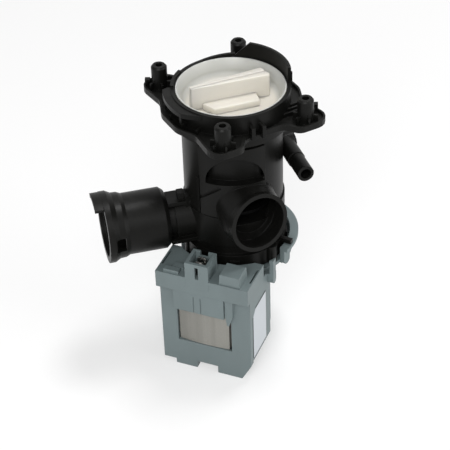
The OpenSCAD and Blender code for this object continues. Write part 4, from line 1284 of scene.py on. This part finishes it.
@dataclass
class Studio:
    """Pale floor, soft light and the camera at the photograph's angle.

    Attributes:
        azimuth, elevation, roll: direction from -Y towards +X, height and roll of the camera.
        frame_px, focal_px: width of the frame, and focal length in its pixels.
        centre_px: where the point that the camera was fitted to lands in the frame.
        drop_mm: how far that point is below the origin.
        distance_mm: distance of the camera from it.
        sensor_mm: width of the sensor.
        clip: nearest and furthest distance that the camera sees.
        floor_mm, floor_side: level of the floor, and length of its side.
        floor_white: colour of the floor.
        floor_glow: how far the floor shows plain white instead of its shading.
        ambient: level of the world's light.
        lamps: the lamps.
        aim: the point that they face.
    """

    azimuth: float = -28.1449674
    elevation: float = 37.1657371
    roll: float = -1.98817034
    frame_px: float = 450.0
    focal_px: float = 1432.17479
    centre_px: Pair = (230.713837, 83.2584438)
    distance_mm: float = 817.522376
    drop_mm: float = 1.45
    sensor_mm: float = 36.0
    clip: Pair = (0.05, 20.0)
    floor_mm: float = -179.3
    floor_side: float = 6.0
    floor_white: float = 0.98
    floor_glow: float = 0.5
    ambient: float = 0.36
    lamps: tuple[Lamp, ...] = (
        Lamp("key", (-0.8, -1.0, 0.85), 14.0, 0.9),
        Lamp("fill", (0.9, -1.1, 0.4), 7.0, 0.9),
        Lamp("rim", (0.42, 0.12, 1.5), 13.0, 0.4),
    )
    aim: Triple = (0.0, 0.0, -0.09)

    def camera(self) -> None:
        """Places the camera and makes it the scene's camera."""
        azimuth, elevation, roll = map(math.radians, (self.azimuth, self.elevation, self.roll))
        level = math.cos(elevation)
        back = Vector((math.sin(azimuth) * level, -math.cos(azimuth) * level, math.sin(elevation)))
        flat_right = Vector((math.cos(azimuth), math.sin(azimuth), 0.0))
        flat_up = back.cross(flat_right)
        right = flat_right * math.cos(roll) + flat_up * math.sin(roll)
        up = -flat_right * math.sin(roll) + flat_up * math.cos(roll)
        per_px = self.distance_mm / self.focal_px
        across, down = (place - self.frame_px / 2 for place in self.centre_px)
        place = back * self.distance_mm - right * (across * per_px) + up * (down * per_px)
        place.z -= self.drop_mm
        data = bpy.data.cameras.new("camera")
        data.sensor_width = self.sensor_mm
        data.lens = self.focal_px * self.sensor_mm / self.frame_px
        data.clip_start, data.clip_end = self.clip
        camera = bpy.data.objects.new("camera", data)
        axes = Matrix((right, up, back)).transposed()
        camera.matrix_world = Matrix.Translation(place * MM) @ axes.to_4x4()
        bpy.context.scene.collection.objects.link(camera)
        bpy.context.scene.camera = camera

    @staticmethod
    def seen_plain(web: Web) -> Num:
        """One for rays that show the background: from the camera, a reflection or through glass.

        Args:
            web: the nodes of the floor or the world.

        Returns:
            The wrapped share.
        """
        path = web.add("ShaderNodeLightPath", {}, {})
        names = ("Is Camera Ray", "Is Glossy Ray", "Is Transmission Ray")
        seen, mirrored, through = (Num(web, path.outputs[name]) for name in names)
        return web.maths("MINIMUM", seen + mirrored + through, 1.0)

    def sky(self) -> None:
        """Lights the world evenly, and shows it white to the camera and to reflections."""
        world = bpy.data.worlds.new("studio")
        bpy.context.scene.world = world
        web = Web(world)
        strength = self.seen_plain(web) * (1.0 - self.ambient) + self.ambient
        glow = web.add("ShaderNodeBackground", {}, {"Strength": strength})
        web.add("ShaderNodeOutputWorld", {}, {"Surface": glow.outputs[0]})

    def floor(self) -> None:
        """Lays the floor that keeps the pump's shadow."""
        Bench.clear()
        centre = (0.0, 0.0, self.floor_mm * MM)
        bpy.ops.mesh.primitive_plane_add(size=self.floor_side, location=centre)
        floor = Bench.settle("floor")
        web = Web(bpy.data.materials.new("floor_white"))
        lit = web.add("ShaderNodeBsdfDiffuse", {}, {"Color": rgba(EVEN, self.floor_white)})
        glow = web.add("ShaderNodeEmission", {}, {"Color": rgba(EVEN), "Strength": 1.0})
        share = self.seen_plain(web) * self.floor_glow
        mixed = web.add(
            "ShaderNodeMixShader", {}, {0: share, 1: lit.outputs[0], 2: glow.outputs[0]}
        )
        Bench.dress(floor, web.finish(mixed.outputs[0]))

    def build(self) -> None:
        """Sets the studio up."""
        self.camera()
        self.sky()
        self.floor()
        for lamp in self.lamps:
            lamp.build(self.aim)
        bpy.context.scene.view_settings.view_transform = "Standard"


class Pump:
    """The whole pump, dressed."""

    def __init__(self, frame: Mapping[str, Any]) -> None:
        """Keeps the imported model."""
        self.frame = frame
        self.finishes = Finishes()

    def dress_solids(self) -> None:
        """Gives every solid the finish of its piece."""
        built: dict[str, Material] = {}
        for name, finish in self.finishes.by_node().items():
            if finish.name not in built:
                built[finish.name] = finish.build()
            Bench.dress(self.frame["nodes"][name], built[finish.name])
            log.info("%s is finished in %s", name, finish.name)

    def build(self) -> None:
        """Dresses the solids and adds the finer pieces."""
        self.dress_solids()
        for piece in [*Motor(self.finishes).build(), Cap(self.finishes).build()]:
            log.info("added %s", piece.name)


def main() -> None:
    """Builds the pump and its studio."""
    logging.basicConfig(level=logging.INFO, format="%(name)s: %(message)s")
    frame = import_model()
    Pump(frame).build()
    Studio().build()


if __name__ == "__main__":
    main()
